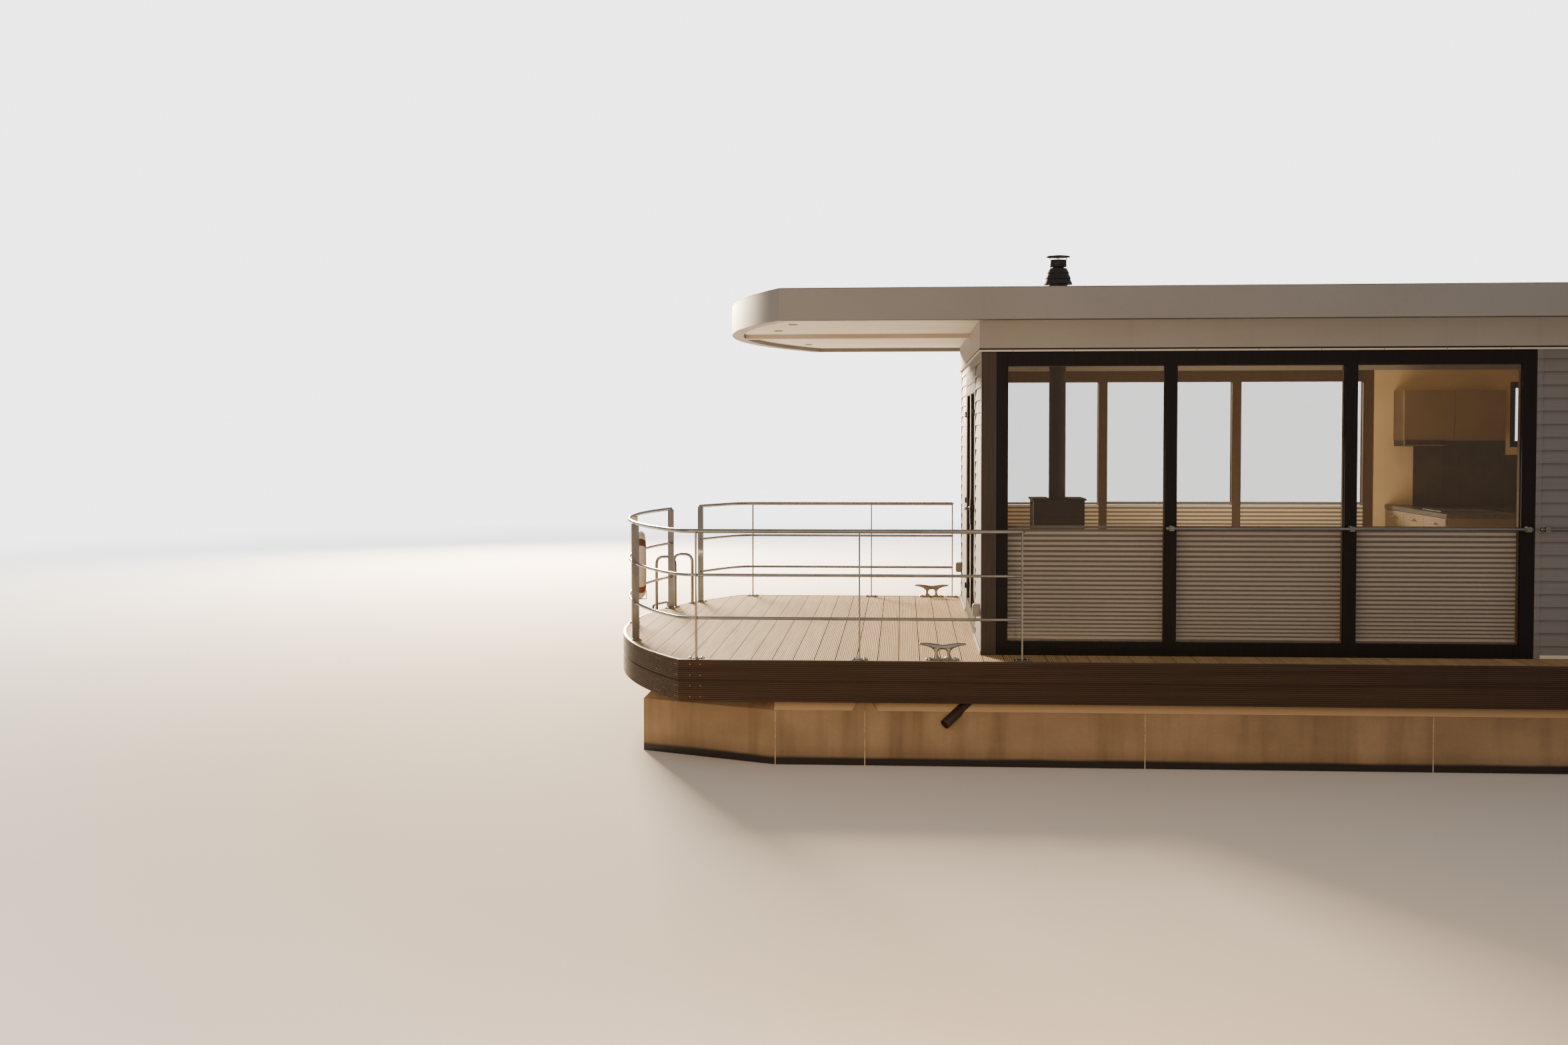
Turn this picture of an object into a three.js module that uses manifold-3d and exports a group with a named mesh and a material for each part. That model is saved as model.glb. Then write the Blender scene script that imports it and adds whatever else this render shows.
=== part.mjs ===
// A houseboat: a flat concrete pontoon, a round-nosed timber-look deck and a glazed cabin under a flat roof.
// Millimetres, +X to the bow, +Y to port, +Z up. The origin is on the floor under the middle of the boat.

import * as THREE from 'three';
import { mergeVertices } from 'three/addons/utils/BufferGeometryUtils.js';
import Module from 'manifold-3d';

const wasm = await Module();
wasm.setup();

// Driving dimensions.
const GAP = 0.3;
const DRAUGHT = 650;
const DECK = DRAUGHT + 820;
const DECK_FORM = { tip: 6620, sagitta: 790, half: 2550, stern: -6648.4 };
const ROOF_FORM = { tip: 5635, sagitta: 590, half: 2570, stern: -6000 };
const ARC_STEPS = 11;

// Heights above the deck.
const FASCIA_DROP = 320;
const PLATFORM = 150;
const FLOOR = 80;
const GLASS_BOTTOM = 103;
const GLASS_TOP = 2261;
const HEAD = 2370;
const FASCIA_BOTTOM = 2590;
const SOFFIT = 2625;
const ROOF_TOP = 2835;
const CEILING = 2420;

// Cabin outer faces: the walkway is on the port side, and the starboard wall stands near the deck's edge.
const CABIN = { front: 3500, rear: -5400, port: 2130, starboard: -2420, wall: 120 };
const FRAME_DEPTH = 100;
const FASCIA_BOARD = 25;
const FASCIA_SPLIT = 60;

// How far a cutting solid runs past what it cuts, and a reach beyond the whole boat.
const PAST = 50;
const BEYOND = 9000;

// The three fixed bays of each glazed side, as [forward edge, aft edge] of the glass.
const GLAZING = { front: 3494, rear: -706, bays: [[3297, 2085], [1994, 722], [628, -601]] };
const PANE = 24;
const PANE_SETBACK = 30;
const CORNER = { board: 113, groove: 4 };

// Punched windows aft of the glazed sides: x of the middle, width, sill and head above the deck.
const BEDROOM_WINDOW = { x: -4200, width: 1200, sill: 950, head: 2050 };
const GALLEY_WINDOW = { x: -2410, width: 700, sill: 1580, head: 2245 };

const TERRACE_DOOR = {
  y: 0, width: 1920, head: 2237, jamb: 60, threshold: 40, leaf: 50, stile: 85, bottomRail: 110,
};
const REAR_DOOR = {
  y: 700, width: 960, head: 2120, jamb: 50, threshold: 40, leaf: 50, stile: 120, bottomRail: 156,
};
const DOOR_GAP = 6;
const MEETING_GAP = 8;
const LEAF_SETBACK = 2;
const KNUCKLE = {
  radius: 7, stand: 8, offset: 3, height: 55, heights: [260, 1080, 1900], root: 12, plate: 30, plateBack: 5.5,
};

const RAIL = {
  inset: 85, bowInset: 60, bendFrom: 5715, easing: 300, bend: 190, spacing: 400, stub: 6,
  top: 985, middle: 646, low: 313, topRadius: 16.5, radius: 12,
};
const POST = { width: 62, thick: 12, plate: [90, 120, 8] };

// One finish for each kind of surface.
const paint = {
  concrete: new THREE.MeshStandardMaterial({ color: 0xb3aa9c, roughness: 0.85 }),
  board: new THREE.MeshStandardMaterial({ color: 0x6d4c30, roughness: 0.75 }),
  white: new THREE.MeshStandardMaterial({ color: 0xd9d5ce, roughness: 0.45 }),
  siding: new THREE.MeshStandardMaterial({ color: 0xc9ccd0, roughness: 0.5 }),
  anthracite: new THREE.MeshStandardMaterial({ color: 0x2b2623, roughness: 0.4 }),
  glass: new THREE.MeshStandardMaterial({
    color: 0xcfd8d6, roughness: 0.05, transparent: true, opacity: 0.35,
  }),
  steel: new THREE.MeshStandardMaterial({ color: 0xc8c9ca, roughness: 0.22, metalness: 1 }),
  blind: new THREE.MeshStandardMaterial({ color: 0xd8d8d4, roughness: 0.9 }),
  black: new THREE.MeshStandardMaterial({ color: 0x1c1b1a, roughness: 0.5 }),
  inside: new THREE.MeshStandardMaterial({ color: 0xd9c9a8, roughness: 0.7 }),
  floor: new THREE.MeshStandardMaterial({ color: 0x8a6f52, roughness: 0.6 }),
  cabinet: new THREE.MeshStandardMaterial({ color: 0xdcd3c0, roughness: 0.5 }),
  worktop: new THREE.MeshStandardMaterial({ color: 0x33302c, roughness: 0.4 }),
  pipe: new THREE.MeshStandardMaterial({ color: 0x4a3a2c, roughness: 0.6 }),
  float: new THREE.MeshStandardMaterial({ color: 0xe9e4da, roughness: 0.55 }),
};

const houseboat = new THREE.Group();

// Solid helpers: a geometry becomes a closed solid that can be joined and cut.
function solid(geometry) {
  const bare = geometry.index ? geometry.toNonIndexed() : geometry.clone();
  bare.deleteAttribute('normal');
  bare.deleteAttribute('uv');
  const merged = mergeVertices(bare, 1e-3);
  return new wasm.Manifold(new wasm.Mesh({
    numProp: 3,
    vertProperties: new Float32Array(merged.attributes.position.array),
    triVerts: new Uint32Array(merged.index.array),
  }));
}

function join(solids) {
  return solids.reduce((whole, piece) => whole.add(piece));
}

function addPart(name, shape, material, parent = houseboat) {
  const { vertProperties, triVerts } = shape.getMesh();
  const geometry = new THREE.BufferGeometry();
  geometry.setAttribute('position', new THREE.Float32BufferAttribute(Array.from(vertProperties), 3));
  geometry.setIndex(Array.from(triVerts));
  geometry.computeVertexNormals();
  const mesh = new THREE.Mesh(geometry, material);
  mesh.name = name;
  parent.add(mesh);
  return mesh;
}

function block([x0, x1], [y0, y1], [z0, z1]) {
  const geometry = new THREE.BoxGeometry(Math.abs(x1 - x0), Math.abs(y1 - y0), Math.abs(z1 - z0));
  geometry.translate((x0 + x1) / 2, (y0 + y1) / 2, (z0 + z1) / 2);
  return solid(geometry);
}

function plan(points, z0, z1) {
  const shape = new THREE.Shape(points.map(([x, y]) => new THREE.Vector2(x, y)));
  const geometry = new THREE.ExtrudeGeometry(shape, { depth: z1 - z0, bevelEnabled: false });
  geometry.translate(0, 0, z0);
  return solid(geometry);
}

// An outline drawn in (y, z) and carried along x.
function alongX(points, x0, x1) {
  const shape = new THREE.Shape(points.map(([y, z]) => new THREE.Vector2(y, z)));
  const geometry = new THREE.ExtrudeGeometry(shape, { depth: x1 - x0, bevelEnabled: false });
  const turn = new THREE.Matrix4().makeBasis(
    new THREE.Vector3(0, 1, 0), new THREE.Vector3(0, 0, 1), new THREE.Vector3(1, 0, 0));
  geometry.applyMatrix4(turn);
  geometry.translate(x0, 0, 0);
  return solid(geometry);
}

// An outline drawn in (x, z) and carried along y.
function alongY(points, y0, y1) {
  const shape = new THREE.Shape(points.map(([x, z]) => new THREE.Vector2(x, z)));
  const geometry = new THREE.ExtrudeGeometry(shape, { depth: y1 - y0, bevelEnabled: false });
  const turn = new THREE.Matrix4().makeBasis(
    new THREE.Vector3(1, 0, 0), new THREE.Vector3(0, 0, 1), new THREE.Vector3(0, -1, 0));
  geometry.applyMatrix4(turn);
  geometry.translate(0, y1, 0);
  return solid(geometry);
}

// Plan sections of equal point counts, stacked from the bottom up.
function stack(sections) {
  const count = sections[0].points.length;
  const positions = [];
  for (const { points, z } of sections) {
    for (const [x, y] of points) positions.push(x, y, z);
  }
  const index = [];
  for (let level = 0; level + 1 < sections.length; level += 1) {
    for (let k = 0; k < count; k += 1) {
      const a = level * count + k;
      const b = level * count + ((k + 1) % count);
      index.push(a, b, b + count, a, b + count, a + count);
    }
  }
  const cap = THREE.ShapeUtils.triangulateShape(
    sections[0].points.map(([x, y]) => new THREE.Vector2(x, y)), []);
  const top = (sections.length - 1) * count;
  for (const [a, b, c] of cap) {
    index.push(a, c, b);
    index.push(top + a, top + b, top + c);
  }
  const geometry = new THREE.BufferGeometry();
  geometry.setAttribute('position', new THREE.Float32BufferAttribute(positions, 3));
  geometry.setIndex(index);
  return solid(geometry);
}

function rod(from, to, radius, sides = 12) {
  const a = new THREE.Vector3(...from);
  const b = new THREE.Vector3(...to);
  const geometry = new THREE.CylinderGeometry(radius, radius, a.distanceTo(b), sides);
  const turn = new THREE.Quaternion().setFromUnitVectors(
    new THREE.Vector3(0, 1, 0), b.clone().sub(a).normalize());
  geometry.applyQuaternion(turn);
  const middle = a.add(b).multiplyScalar(0.5);
  geometry.translate(middle.x, middle.y, middle.z);
  return solid(geometry);
}

function turned(profile, sides = 20) {
  const geometry = new THREE.LatheGeometry(profile.map(([r, z]) => new THREE.Vector2(r, z)), sides);
  geometry.rotateX(Math.PI / 2);
  return solid(geometry);
}

function tube(points, radius, steps, sides = 10) {
  const path = new THREE.CatmullRomCurve3(points.map((p) => new THREE.Vector3(...p)), false, 'centripetal');
  const ring = [];
  for (let k = 0; k < sides; k += 1) {
    const angle = (2 * Math.PI * k) / sides;
    ring.push(new THREE.Vector2(radius * Math.cos(angle), radius * Math.sin(angle)));
  }
  const section = new THREE.Shape(ring);
  return solid(new THREE.ExtrudeGeometry(section, { steps, extrudePath: path, bevelEnabled: false }));
}

// The plan of the deck or the roof: straight sides, a square stern and one arc across the bow.
function arcOf(form) {
  const radius = (form.half ** 2 + form.sagitta ** 2) / (2 * form.sagitta);
  return { radius, centre: form.tip - radius, reach: Math.asin(form.half / radius) };
}

function bowOutline(form, inset = 0) {
  const { radius, centre, reach } = arcOf(form);
  const r = radius - inset;
  const side = form.half - inset;
  const corner = centre + Math.sqrt(r ** 2 - side ** 2);
  const step = (reach * 0.93) / ARC_STEPS;
  const points = [[form.stern + inset, -side], [corner, -side]];
  for (let k = -ARC_STEPS; k <= ARC_STEPS; k += 1) {
    points.push([centre + r * Math.cos(k * step), r * Math.sin(k * step)]);
  }
  points.push([corner, side], [form.stern + inset, side]);
  return points;
}

function onArc(form, inset, y) {
  const { radius, centre } = arcOf(form);
  const r = radius - inset;
  return [centre + Math.sqrt(r ** 2 - y ** 2), y];
}

// Pontoon: a square stern, an angled facet at each side of the bow and a bevel along the top edge.
const PONTOON = { inset: 100, sternInset: 100, facetStart: 5100, front: 6195, frontHalf: 1930 };
const BEVEL = { bottom: DECK - 400, size: 75 };
const BEVEL_STOPS = { x: [4400, -4400], foot: 100, head: 50 };

function pontoonPlan(inset) {
  const side = DECK_FORM.half - PONTOON.inset - inset;
  const stern = DECK_FORM.stern + PONTOON.sternInset + inset;
  const slip = inset * 0.4;
  return [
    [stern, -side],
    [PONTOON.facetStart - slip, -side],
    [PONTOON.front - inset, -PONTOON.frontHalf + slip],
    [PONTOON.front - inset, PONTOON.frontHalf - slip],
    [PONTOON.facetStart - slip, side],
    [stern, side],
  ];
}

function pontoon() {
  let hull = stack([
    { points: pontoonPlan(0), z: 0 },
    { points: pontoonPlan(0), z: BEVEL.bottom },
    { points: pontoonPlan(BEVEL.size), z: BEVEL.bottom + BEVEL.size },
    { points: pontoonPlan(BEVEL.size), z: DECK - PLATFORM },
  ]);
  const side = DECK_FORM.half - PONTOON.inset;
  const top = BEVEL.bottom + BEVEL.size;
  for (const x of BEVEL_STOPS.x) {
    const outline = [
      [x - BEVEL_STOPS.foot, BEVEL.bottom], [x + BEVEL_STOPS.foot, BEVEL.bottom],
      [x + BEVEL_STOPS.head, top], [x - BEVEL_STOPS.head, top],
    ];
    hull = hull.add(alongY(outline, -side, side));
  }
  return hull;
}

addPart('pontoon', pontoon(), paint.concrete);

// Drain pipe: a short open pipe that leaves the pontoon's port side at a slant, under the fascia.
const DRAIN = { from: [3640, 2400, 1105], to: [3790, 2520, 985], radius: 39, bore: 34, sides: 20, past: 0.1 };

function drainPipe() {
  const { from, to, radius, bore, sides, past } = DRAIN;
  const beyond = to.map((value, k) => value + (value - from[k]) * past);
  const pipe = rod(from, to, radius, sides).subtract(rod(from, beyond, bore, sides));
  const side = DECK_FORM.half - PONTOON.inset + GAP;
  return pipe.intersect(block([0, BEYOND], [side, BEYOND], [0, DECK]));
}

addPart('drain_pipe', drainPipe(), paint.pipe);

// Deck: the platform, with a slot between one board and the next, and the fascia of two boards round it.
const BOARD = { pitch: 160, slot: 6, depth: 8, last: 60 };
const FASCIA_SEAM = { height: 5, depth: 8 };

function deckPlatform() {
  const slots = [];
  for (let x = Math.ceil(DECK_FORM.stern / BOARD.pitch) * BOARD.pitch; x < DECK_FORM.tip - BOARD.last;
    x += BOARD.pitch) {
    slots.push(block([x, x + BOARD.slot], [-BEYOND, BEYOND], [DECK - BOARD.depth, DECK + 1]));
  }
  return plan(bowOutline(DECK_FORM, FASCIA_BOARD + GAP), DECK - PLATFORM + GAP, DECK).subtract(join(slots));
}

addPart('deck_platform', deckPlatform(), paint.board);

function fascia() {
  const low = DECK - FASCIA_DROP;
  const high = [low - 1, DECK + 1];
  const seam = DECK - (FASCIA_DROP + FASCIA_SEAM.height) / 2;
  const groove = plan(bowOutline(DECK_FORM, -1), seam, seam + FASCIA_SEAM.height)
    .subtract(plan(bowOutline(DECK_FORM, FASCIA_SEAM.depth), ...high));
  const ring = plan(bowOutline(DECK_FORM, 0), low, DECK)
    .subtract(plan(bowOutline(DECK_FORM, FASCIA_BOARD), ...high))
    .subtract(groove);
  const bow = onArc(DECK_FORM, 0, DECK_FORM.half)[0] - FASCIA_SPLIT;
  const stern = DECK_FORM.stern + FASCIA_BOARD;
  const shares = [
    ['bow', [bow + GAP, BEYOND], [-BEYOND, BEYOND]],
    ['port', [stern + GAP, bow], [0, BEYOND]],
    ['starboard', [stern + GAP, bow], [-BEYOND, 0]],
    ['stern', [-BEYOND, stern], [-BEYOND, BEYOND]],
  ];
  for (const [name, x, y] of shares) {
    addPart(`fascia_${name}`, ring.intersect(block(x, y, high)), paint.board);
  }
}

fascia();

// Cabin floor, inside the walls.
const inner = {
  front: CABIN.front - FRAME_DEPTH,
  rear: CABIN.rear + CABIN.wall,
  port: CABIN.port - CABIN.wall,
  starboard: CABIN.starboard + CABIN.wall,
};
addPart('cabin_floor', block([inner.rear + GAP, inner.front - GAP],
  [inner.starboard + GAP, inner.port - GAP], [DECK + GAP, DECK + FLOOR]), paint.floor);

// Glazed sides: one frame with three openings on each side, a pane in each opening, and a groove that sets
// the corner board off from the frame.
const SIDES = [
  { name: 'port', face: CABIN.port, out: 1 },
  { name: 'starboard', face: CABIN.starboard, out: -1 },
];

for (const { name, face, out } of SIDES) {
  let frame = block([GLAZING.rear, GLAZING.front - GAP], [face, face - out * FRAME_DEPTH],
    [DECK + GAP, DECK + HEAD - GAP]);
  const outside = face - out * PANE_SETBACK;
  GLAZING.bays.forEach(([front, rear], k) => {
    const height = [DECK + GLASS_BOTTOM, DECK + GLASS_TOP];
    frame = frame.subtract(block([rear, front], [face + out, face - out * (FRAME_DEPTH + 1)], height));
    const pane = block([rear + GAP, front - GAP], [outside, outside - out * PANE],
      [height[0] + GAP, height[1] - GAP]);
    addPart(`pane_${name}_${k + 1}`, pane, paint.glass);
  });
  const seam = GLAZING.front - CORNER.board;
  frame = frame.subtract(block([seam - CORNER.groove, seam],
    [face + out, face - out * CORNER.groove], [DECK, DECK + HEAD]));
  addPart(`window_frame_${name}`, frame, paint.anthracite);
}

// Pleated blinds, drawn over the lower part of the bays, just inside each frame.
const BLIND = { top: 1008, bottom: 92, thick: 18, lap: 5 };
for (const { name, face, out } of SIDES) {
  const near = face - out * (FRAME_DEPTH + GAP);
  addPart(`blind_${name}`, block([GLAZING.bays[2][1] - BLIND.lap, GLAZING.bays[0][0] + BLIND.lap],
    [near, near - out * BLIND.thick], [DECK + BLIND.bottom, DECK + BLIND.top]), paint.blind);
}

// Lap siding: boards of one pitch, each proud at its lower edge.
const LAP = { pitch: 100, proud: 12 };

function lapProfile(face, back, out, low, high) {
  const points = [[back, low], [face, low]];
  for (let z = low; z < high; z += LAP.pitch) {
    const top = Math.min(z + LAP.pitch, high);
    points.push([face - out * LAP.proud * ((top - z) / LAP.pitch), top]);
    if (top < high) points.push([face, top]);
  }
  points.push([back, high]);
  return points;
}

const WALL_Z = [DECK + GAP, DECK + HEAD - GAP];
const TRIM = 44;

function sideWall({ face, out }, windows) {
  const back = face - out * CABIN.wall;
  const front = GLAZING.rear - GAP;
  const boards = alongX(lapProfile(face, back, out, ...WALL_Z), CABIN.rear + TRIM, front - TRIM);
  let wall = join([
    boards,
    block([front - TRIM - 1, front], [face, back], WALL_Z),
    block([CABIN.rear, CABIN.rear + TRIM + 1], [face, back], WALL_Z),
  ]);
  for (const { x, width, sill, head } of windows) {
    wall = wall.subtract(block([x - width / 2, x + width / 2], [face + out * PAST, back - out * PAST],
      [DECK + sill, DECK + head]));
  }
  return wall;
}

addPart('side_wall_port', sideWall(SIDES[0], [BEDROOM_WINDOW]), paint.siding);
addPart('side_wall_starboard', sideWall(SIDES[1], [BEDROOM_WINDOW, GALLEY_WINDOW]), paint.siding);

// Punched windows: a frame and a pane in each opening of the side walls.
const CASING = { width: 55, proud: 4, inset: 10 };

function punchedWindow(name, { face, out }, { x, width, sill, head }) {
  const reach = [x - width / 2 + GAP, x + width / 2 - GAP];
  const height = [DECK + sill + GAP, DECK + head - GAP];
  const shell = block(reach, [face + out * CASING.proud, face - out * (CABIN.wall - CASING.inset)], height);
  const open = block([reach[0] + CASING.width, reach[1] - CASING.width],
    [face + out * PAST, face - out * CABIN.wall], [height[0] + CASING.width, height[1] - CASING.width]);
  addPart(`${name}_frame`, shell.subtract(open), paint.anthracite);
  addPart(`${name}_pane`, block([reach[0] + CASING.width + GAP, reach[1] - CASING.width - GAP],
    [face - out * PANE_SETBACK, face - out * (PANE_SETBACK + PANE)],
    [height[0] + CASING.width + GAP, height[1] - CASING.width - GAP]), paint.glass);
}

punchedWindow('bedroom_window_port', SIDES[0], BEDROOM_WINDOW);
punchedWindow('bedroom_window_starboard', SIDES[1], BEDROOM_WINDOW);
punchedWindow('galley_window', SIDES[1], GALLEY_WINDOW);

// Bow wall: lap siding between corner boards that cover the frames' front edges, and a casing round the door.
const SKIN = CABIN.front - GLAZING.front;
const DOOR_CASING = 60;

function doorway({ y, width, head }, x0, x1) {
  return block([x0, x1], [y - width / 2, y + width / 2], [DECK - 1, DECK + head]);
}

function frontWall() {
  const { y, width, head } = TERRACE_DOOR;
  const depth = [CABIN.front - FRAME_DEPTH, CABIN.front];
  const between = [CABIN.starboard + FRAME_DEPTH + GAP, CABIN.port - FRAME_DEPTH - GAP];
  const side = width / 2 + DOOR_CASING;
  return join([
    alongY(lapProfile(CABIN.front, depth[0], 1, ...WALL_Z), ...between),
    block([CABIN.front - SKIN, CABIN.front], [CABIN.starboard, CABIN.starboard + CORNER.board], WALL_Z),
    block([CABIN.front - SKIN, CABIN.front], [CABIN.port - CORNER.board, CABIN.port], WALL_Z),
    block(depth, [between[0], CABIN.starboard + CORNER.board], WALL_Z),
    block(depth, [CABIN.port - CORNER.board, between[1]], WALL_Z),
    block(depth, [y - side, y + side], [WALL_Z[0], DECK + head + DOOR_CASING]),
  ]).subtract(doorway(TERRACE_DOOR, depth[0] - PAST, depth[1] + PAST));
}

addPart('front_wall', frontWall(), paint.white);

function rearWall() {
  const between = [CABIN.starboard + CABIN.wall + GAP, CABIN.port - CABIN.wall - GAP];
  const boards = alongY(lapProfile(CABIN.rear, CABIN.rear + CABIN.wall, -1, ...WALL_Z), ...between);
  return boards.subtract(doorway(REAR_DOOR, CABIN.rear - PAST, CABIN.rear + CABIN.wall + PAST));
}

addPart('rear_wall', rearWall(), paint.siding);

// Door frames. A frame fills its opening; "out" is the way the doors swing along x.
function doorFrame(door, face, out, depth) {
  const half = door.width / 2 - GAP;
  const outer = block([face, face - out * depth], [door.y - half, door.y + half],
    [DECK + GAP, DECK + door.head - GAP]);
  const hole = block([face + out, face - out * (depth + 1)],
    [door.y - half + door.jamb, door.y + half - door.jamb],
    [DECK + door.threshold, DECK + door.head - door.jamb]);
  return outer.subtract(hole);
}

// A hinge knuckle is split in three: the frame holds the outer thirds, and the leaf holds the middle one.
function knuckles(x, y, towards, out, share) {
  const pieces = [];
  const third = KNUCKLE.height / 3;
  for (const height of KNUCKLE.heights) {
    const z = DECK + height;
    const spans = share === 'leaf' ? [[0, 1]] : [[-1, 0], [1, 2]];
    for (const [low, high] of spans) {
      const z0 = z + low * third + GAP;
      const z1 = z + high * third - GAP;
      pieces.push(rod([x, y, z0], [x, y, z1], KNUCKLE.radius, 16));
      const root = x - out * KNUCKLE.root;
      pieces.push(block([x, root], [y, y + towards * KNUCKLE.offset], [z0, z1])
        .add(block([x - out * KNUCKLE.plateBack, root], [y, y + towards * KNUCKLE.plate], [z0, z1])));
    }
  }
  return pieces;
}

// One glazed leaf: it hangs on the side "hang" (+1 is port) and its free edge is at "free".
function doorLeaf(name, door, face, out, hang, edge, free) {
  const outside = face - out * LEAF_SETBACK;
  const depth = [outside, outside - out * door.leaf];
  const height = [DECK + door.threshold + DOOR_GAP, DECK + door.head - door.jamb - DOOR_GAP];
  const across = [edge, free];
  let leaf = block(depth, across, height);
  const inward = -hang;
  const glass = [edge + inward * door.stile, free - inward * door.stile];
  const pane = [height[0] + door.bottomRail, height[1] - door.stile];
  leaf = leaf.subtract(block([depth[0] + out, depth[1] - out], glass, pane));
  const hinge = [face + out * KNUCKLE.stand, edge + hang * KNUCKLE.offset];
  leaf = join([leaf, ...knuckles(hinge[0], hinge[1], inward, out, 'leaf')]);
  addPart(name, leaf, paint.anthracite);
  const middle = (depth[0] + depth[1]) / 2;
  addPart(`${name}_pane`, block([middle - PANE / 2, middle + PANE / 2],
    [glass[0] + inward * GAP, glass[1] - inward * GAP], [pane[0] + GAP, pane[1] - GAP]), paint.glass);
  return hinge;
}

function terraceDoors() {
  const door = TERRACE_DOOR;
  const reach = door.width / 2 - GAP - door.jamb;
  const frame = [doorFrame(door, CABIN.front, 1, FRAME_DEPTH)];
  for (const [name, hang] of [['port', 1], ['starboard', -1]]) {
    const edge = hang * (reach - DOOR_GAP);
    const hinge = doorLeaf(`terrace_door_${name}`, door, CABIN.front, 1, hang, edge, hang * MEETING_GAP / 2);
    frame.push(...knuckles(hinge[0], hinge[1], hang, 1, 'frame'));
  }
  addPart('terrace_door_frame', join(frame), paint.anthracite);
}

terraceDoors();

function rearDoor() {
  const door = REAR_DOOR;
  const reach = door.width / 2 - GAP - door.jamb;
  const edge = door.y + reach - DOOR_GAP;
  const free = door.y - reach + DOOR_GAP;
  const hinge = doorLeaf('rear_door', door, CABIN.rear, -1, 1, edge, free);
  const frame = [doorFrame(door, CABIN.rear, -1, CABIN.wall)];
  frame.push(...knuckles(hinge[0], hinge[1], 1, -1, 'frame'));
  addPart('rear_door_frame', join(frame), paint.anthracite);
}

rearDoor();

// Head band: the white band that runs round the cabin between the windows and the roof.
const BAND_PROUD = 15;
const CEILING_BOARD = 20;
const BAND_Z = [DECK + HEAD, DECK + SOFFIT - GAP];

function headBand() {
  const outer = block([CABIN.rear - BAND_PROUD, CABIN.front + BAND_PROUD],
    [CABIN.starboard - BAND_PROUD, CABIN.port + BAND_PROUD], BAND_Z);
  return outer.subtract(block([inner.rear, CABIN.front - CABIN.wall], [inner.starboard, inner.port],
    [BAND_Z[0] - 1, BAND_Z[1] + 1]));
}

addPart('head_band', headBand(), paint.white);
addPart('cabin_ceiling', block([inner.rear + GAP, CABIN.front - CABIN.wall - GAP],
  [inner.starboard + GAP, inner.port - GAP], [DECK + CEILING, DECK + CEILING + CEILING_BOARD]), paint.inside);

// Roof: a fascia with a lip turned in under it, the roof panel and the rib down the middle of the canopy.
const ROOF_SKIN = 30;
const LIP = 100;
const RIB_HALF = 60;
const ROOF_EDGE = 25;

function roofFascia() {
  const band = plan(bowOutline(ROOF_FORM, 0), DECK + FASCIA_BOTTOM, DECK + ROOF_TOP)
    .subtract(plan(bowOutline(ROOF_FORM, ROOF_SKIN), DECK + SOFFIT - GAP, DECK + ROOF_TOP + 1));
  return band.subtract(plan(bowOutline(ROOF_FORM, LIP), DECK + FASCIA_BOTTOM - 1, DECK + SOFFIT + 1));
}

addPart('roof_fascia', roofFascia(), paint.white);

function roofPanel() {
  const rib = plan(bowOutline(ROOF_FORM, LIP + GAP), DECK + FASCIA_BOTTOM, DECK + SOFFIT + 1)
    .intersect(block([CABIN.front + BAND_PROUD + GAP, BEYOND], [-RIB_HALF, RIB_HALF], [0, BEYOND]));
  return plan(bowOutline(ROOF_FORM, ROOF_SKIN + GAP), DECK + SOFFIT, DECK + ROOF_TOP - ROOF_EDGE).add(rib);
}

addPart('roof_panel', roofPanel(), paint.white);

// Flue: a flange and pipe, a cone of three shingled courses, a neck, a drum and a cap on struts.
const FLUE = { x: 2720, y: 0, sides: 24, strut: 5, strutRing: 62, gap: [477, 504] };
const FLUE_BODY = [
  [0, 0], [150, 0], [150, 8], [92, 26], [84, 26], [84, 257], [129, 257], [110, 306], [116, 306], [94, 355],
  [100, 355], [76, 403], [52, 403], [52, 415], [76.5, 415], [76.5, 477], [0, 477],
];
const FLUE_CAP = [[0, 504], [108.5, 504], [108.5, 509], [60, 516], [0, 520]];

function flue() {
  const struts = [0, 1, 2, 3].map((k) => {
    const angle = (k * Math.PI) / 2;
    const [x, y] = [FLUE.strutRing * Math.cos(angle), FLUE.strutRing * Math.sin(angle)];
    return rod([x, y, FLUE.gap[0] - 1], [x, y, FLUE.gap[1] + 1], FLUE.strut, 8);
  });
  return join([turned(FLUE_BODY, FLUE.sides), turned(FLUE_CAP, FLUE.sides), ...struts]);
}

addPart('flue', flue(), paint.black).position.set(FLUE.x, FLUE.y, DECK + ROOF_TOP - ROOF_EDGE + GAP);

// Stove: a plain block under the flue, with its pipe to the ceiling.
const STOVE = { half: 225, height: 1050, pipe: 75, pipeSides: 20 };
const stoveTop = DECK + FLOOR + STOVE.height;
const stove = join([
  block([FLUE.x - STOVE.half, FLUE.x + STOVE.half], [FLUE.y - STOVE.half, FLUE.y + STOVE.half],
    [DECK + FLOOR + GAP, stoveTop]),
  rod([FLUE.x, FLUE.y, stoveTop - 1], [FLUE.x, FLUE.y, DECK + CEILING - GAP], STOVE.pipe, STOVE.pipeSides),
]);
addPart('stove', stove, paint.black);

// Galley: an L of base cabinets with a worktop, wall cabinets and the bulkhead behind.
const GALLEY = { front: -840, leg: -350, depth: 600, aft: -2790, worktop: 990, thick: 40, nosing: 20 };
const WALL_UNITS = { setback: 60, clear: 40, depth: 350, low: 1500, high: 2200 };

function galleyPlan(grow) {
  const wall = inner.starboard + GAP;
  const turn = GALLEY.front - GALLEY.depth - grow;
  const edge = wall + GALLEY.depth + grow;
  return [
    [GALLEY.aft, wall], [GALLEY.front + grow, wall], [GALLEY.front + grow, GALLEY.leg + grow],
    [turn, GALLEY.leg + grow], [turn, edge], [GALLEY.aft, edge],
  ];
}

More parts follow.
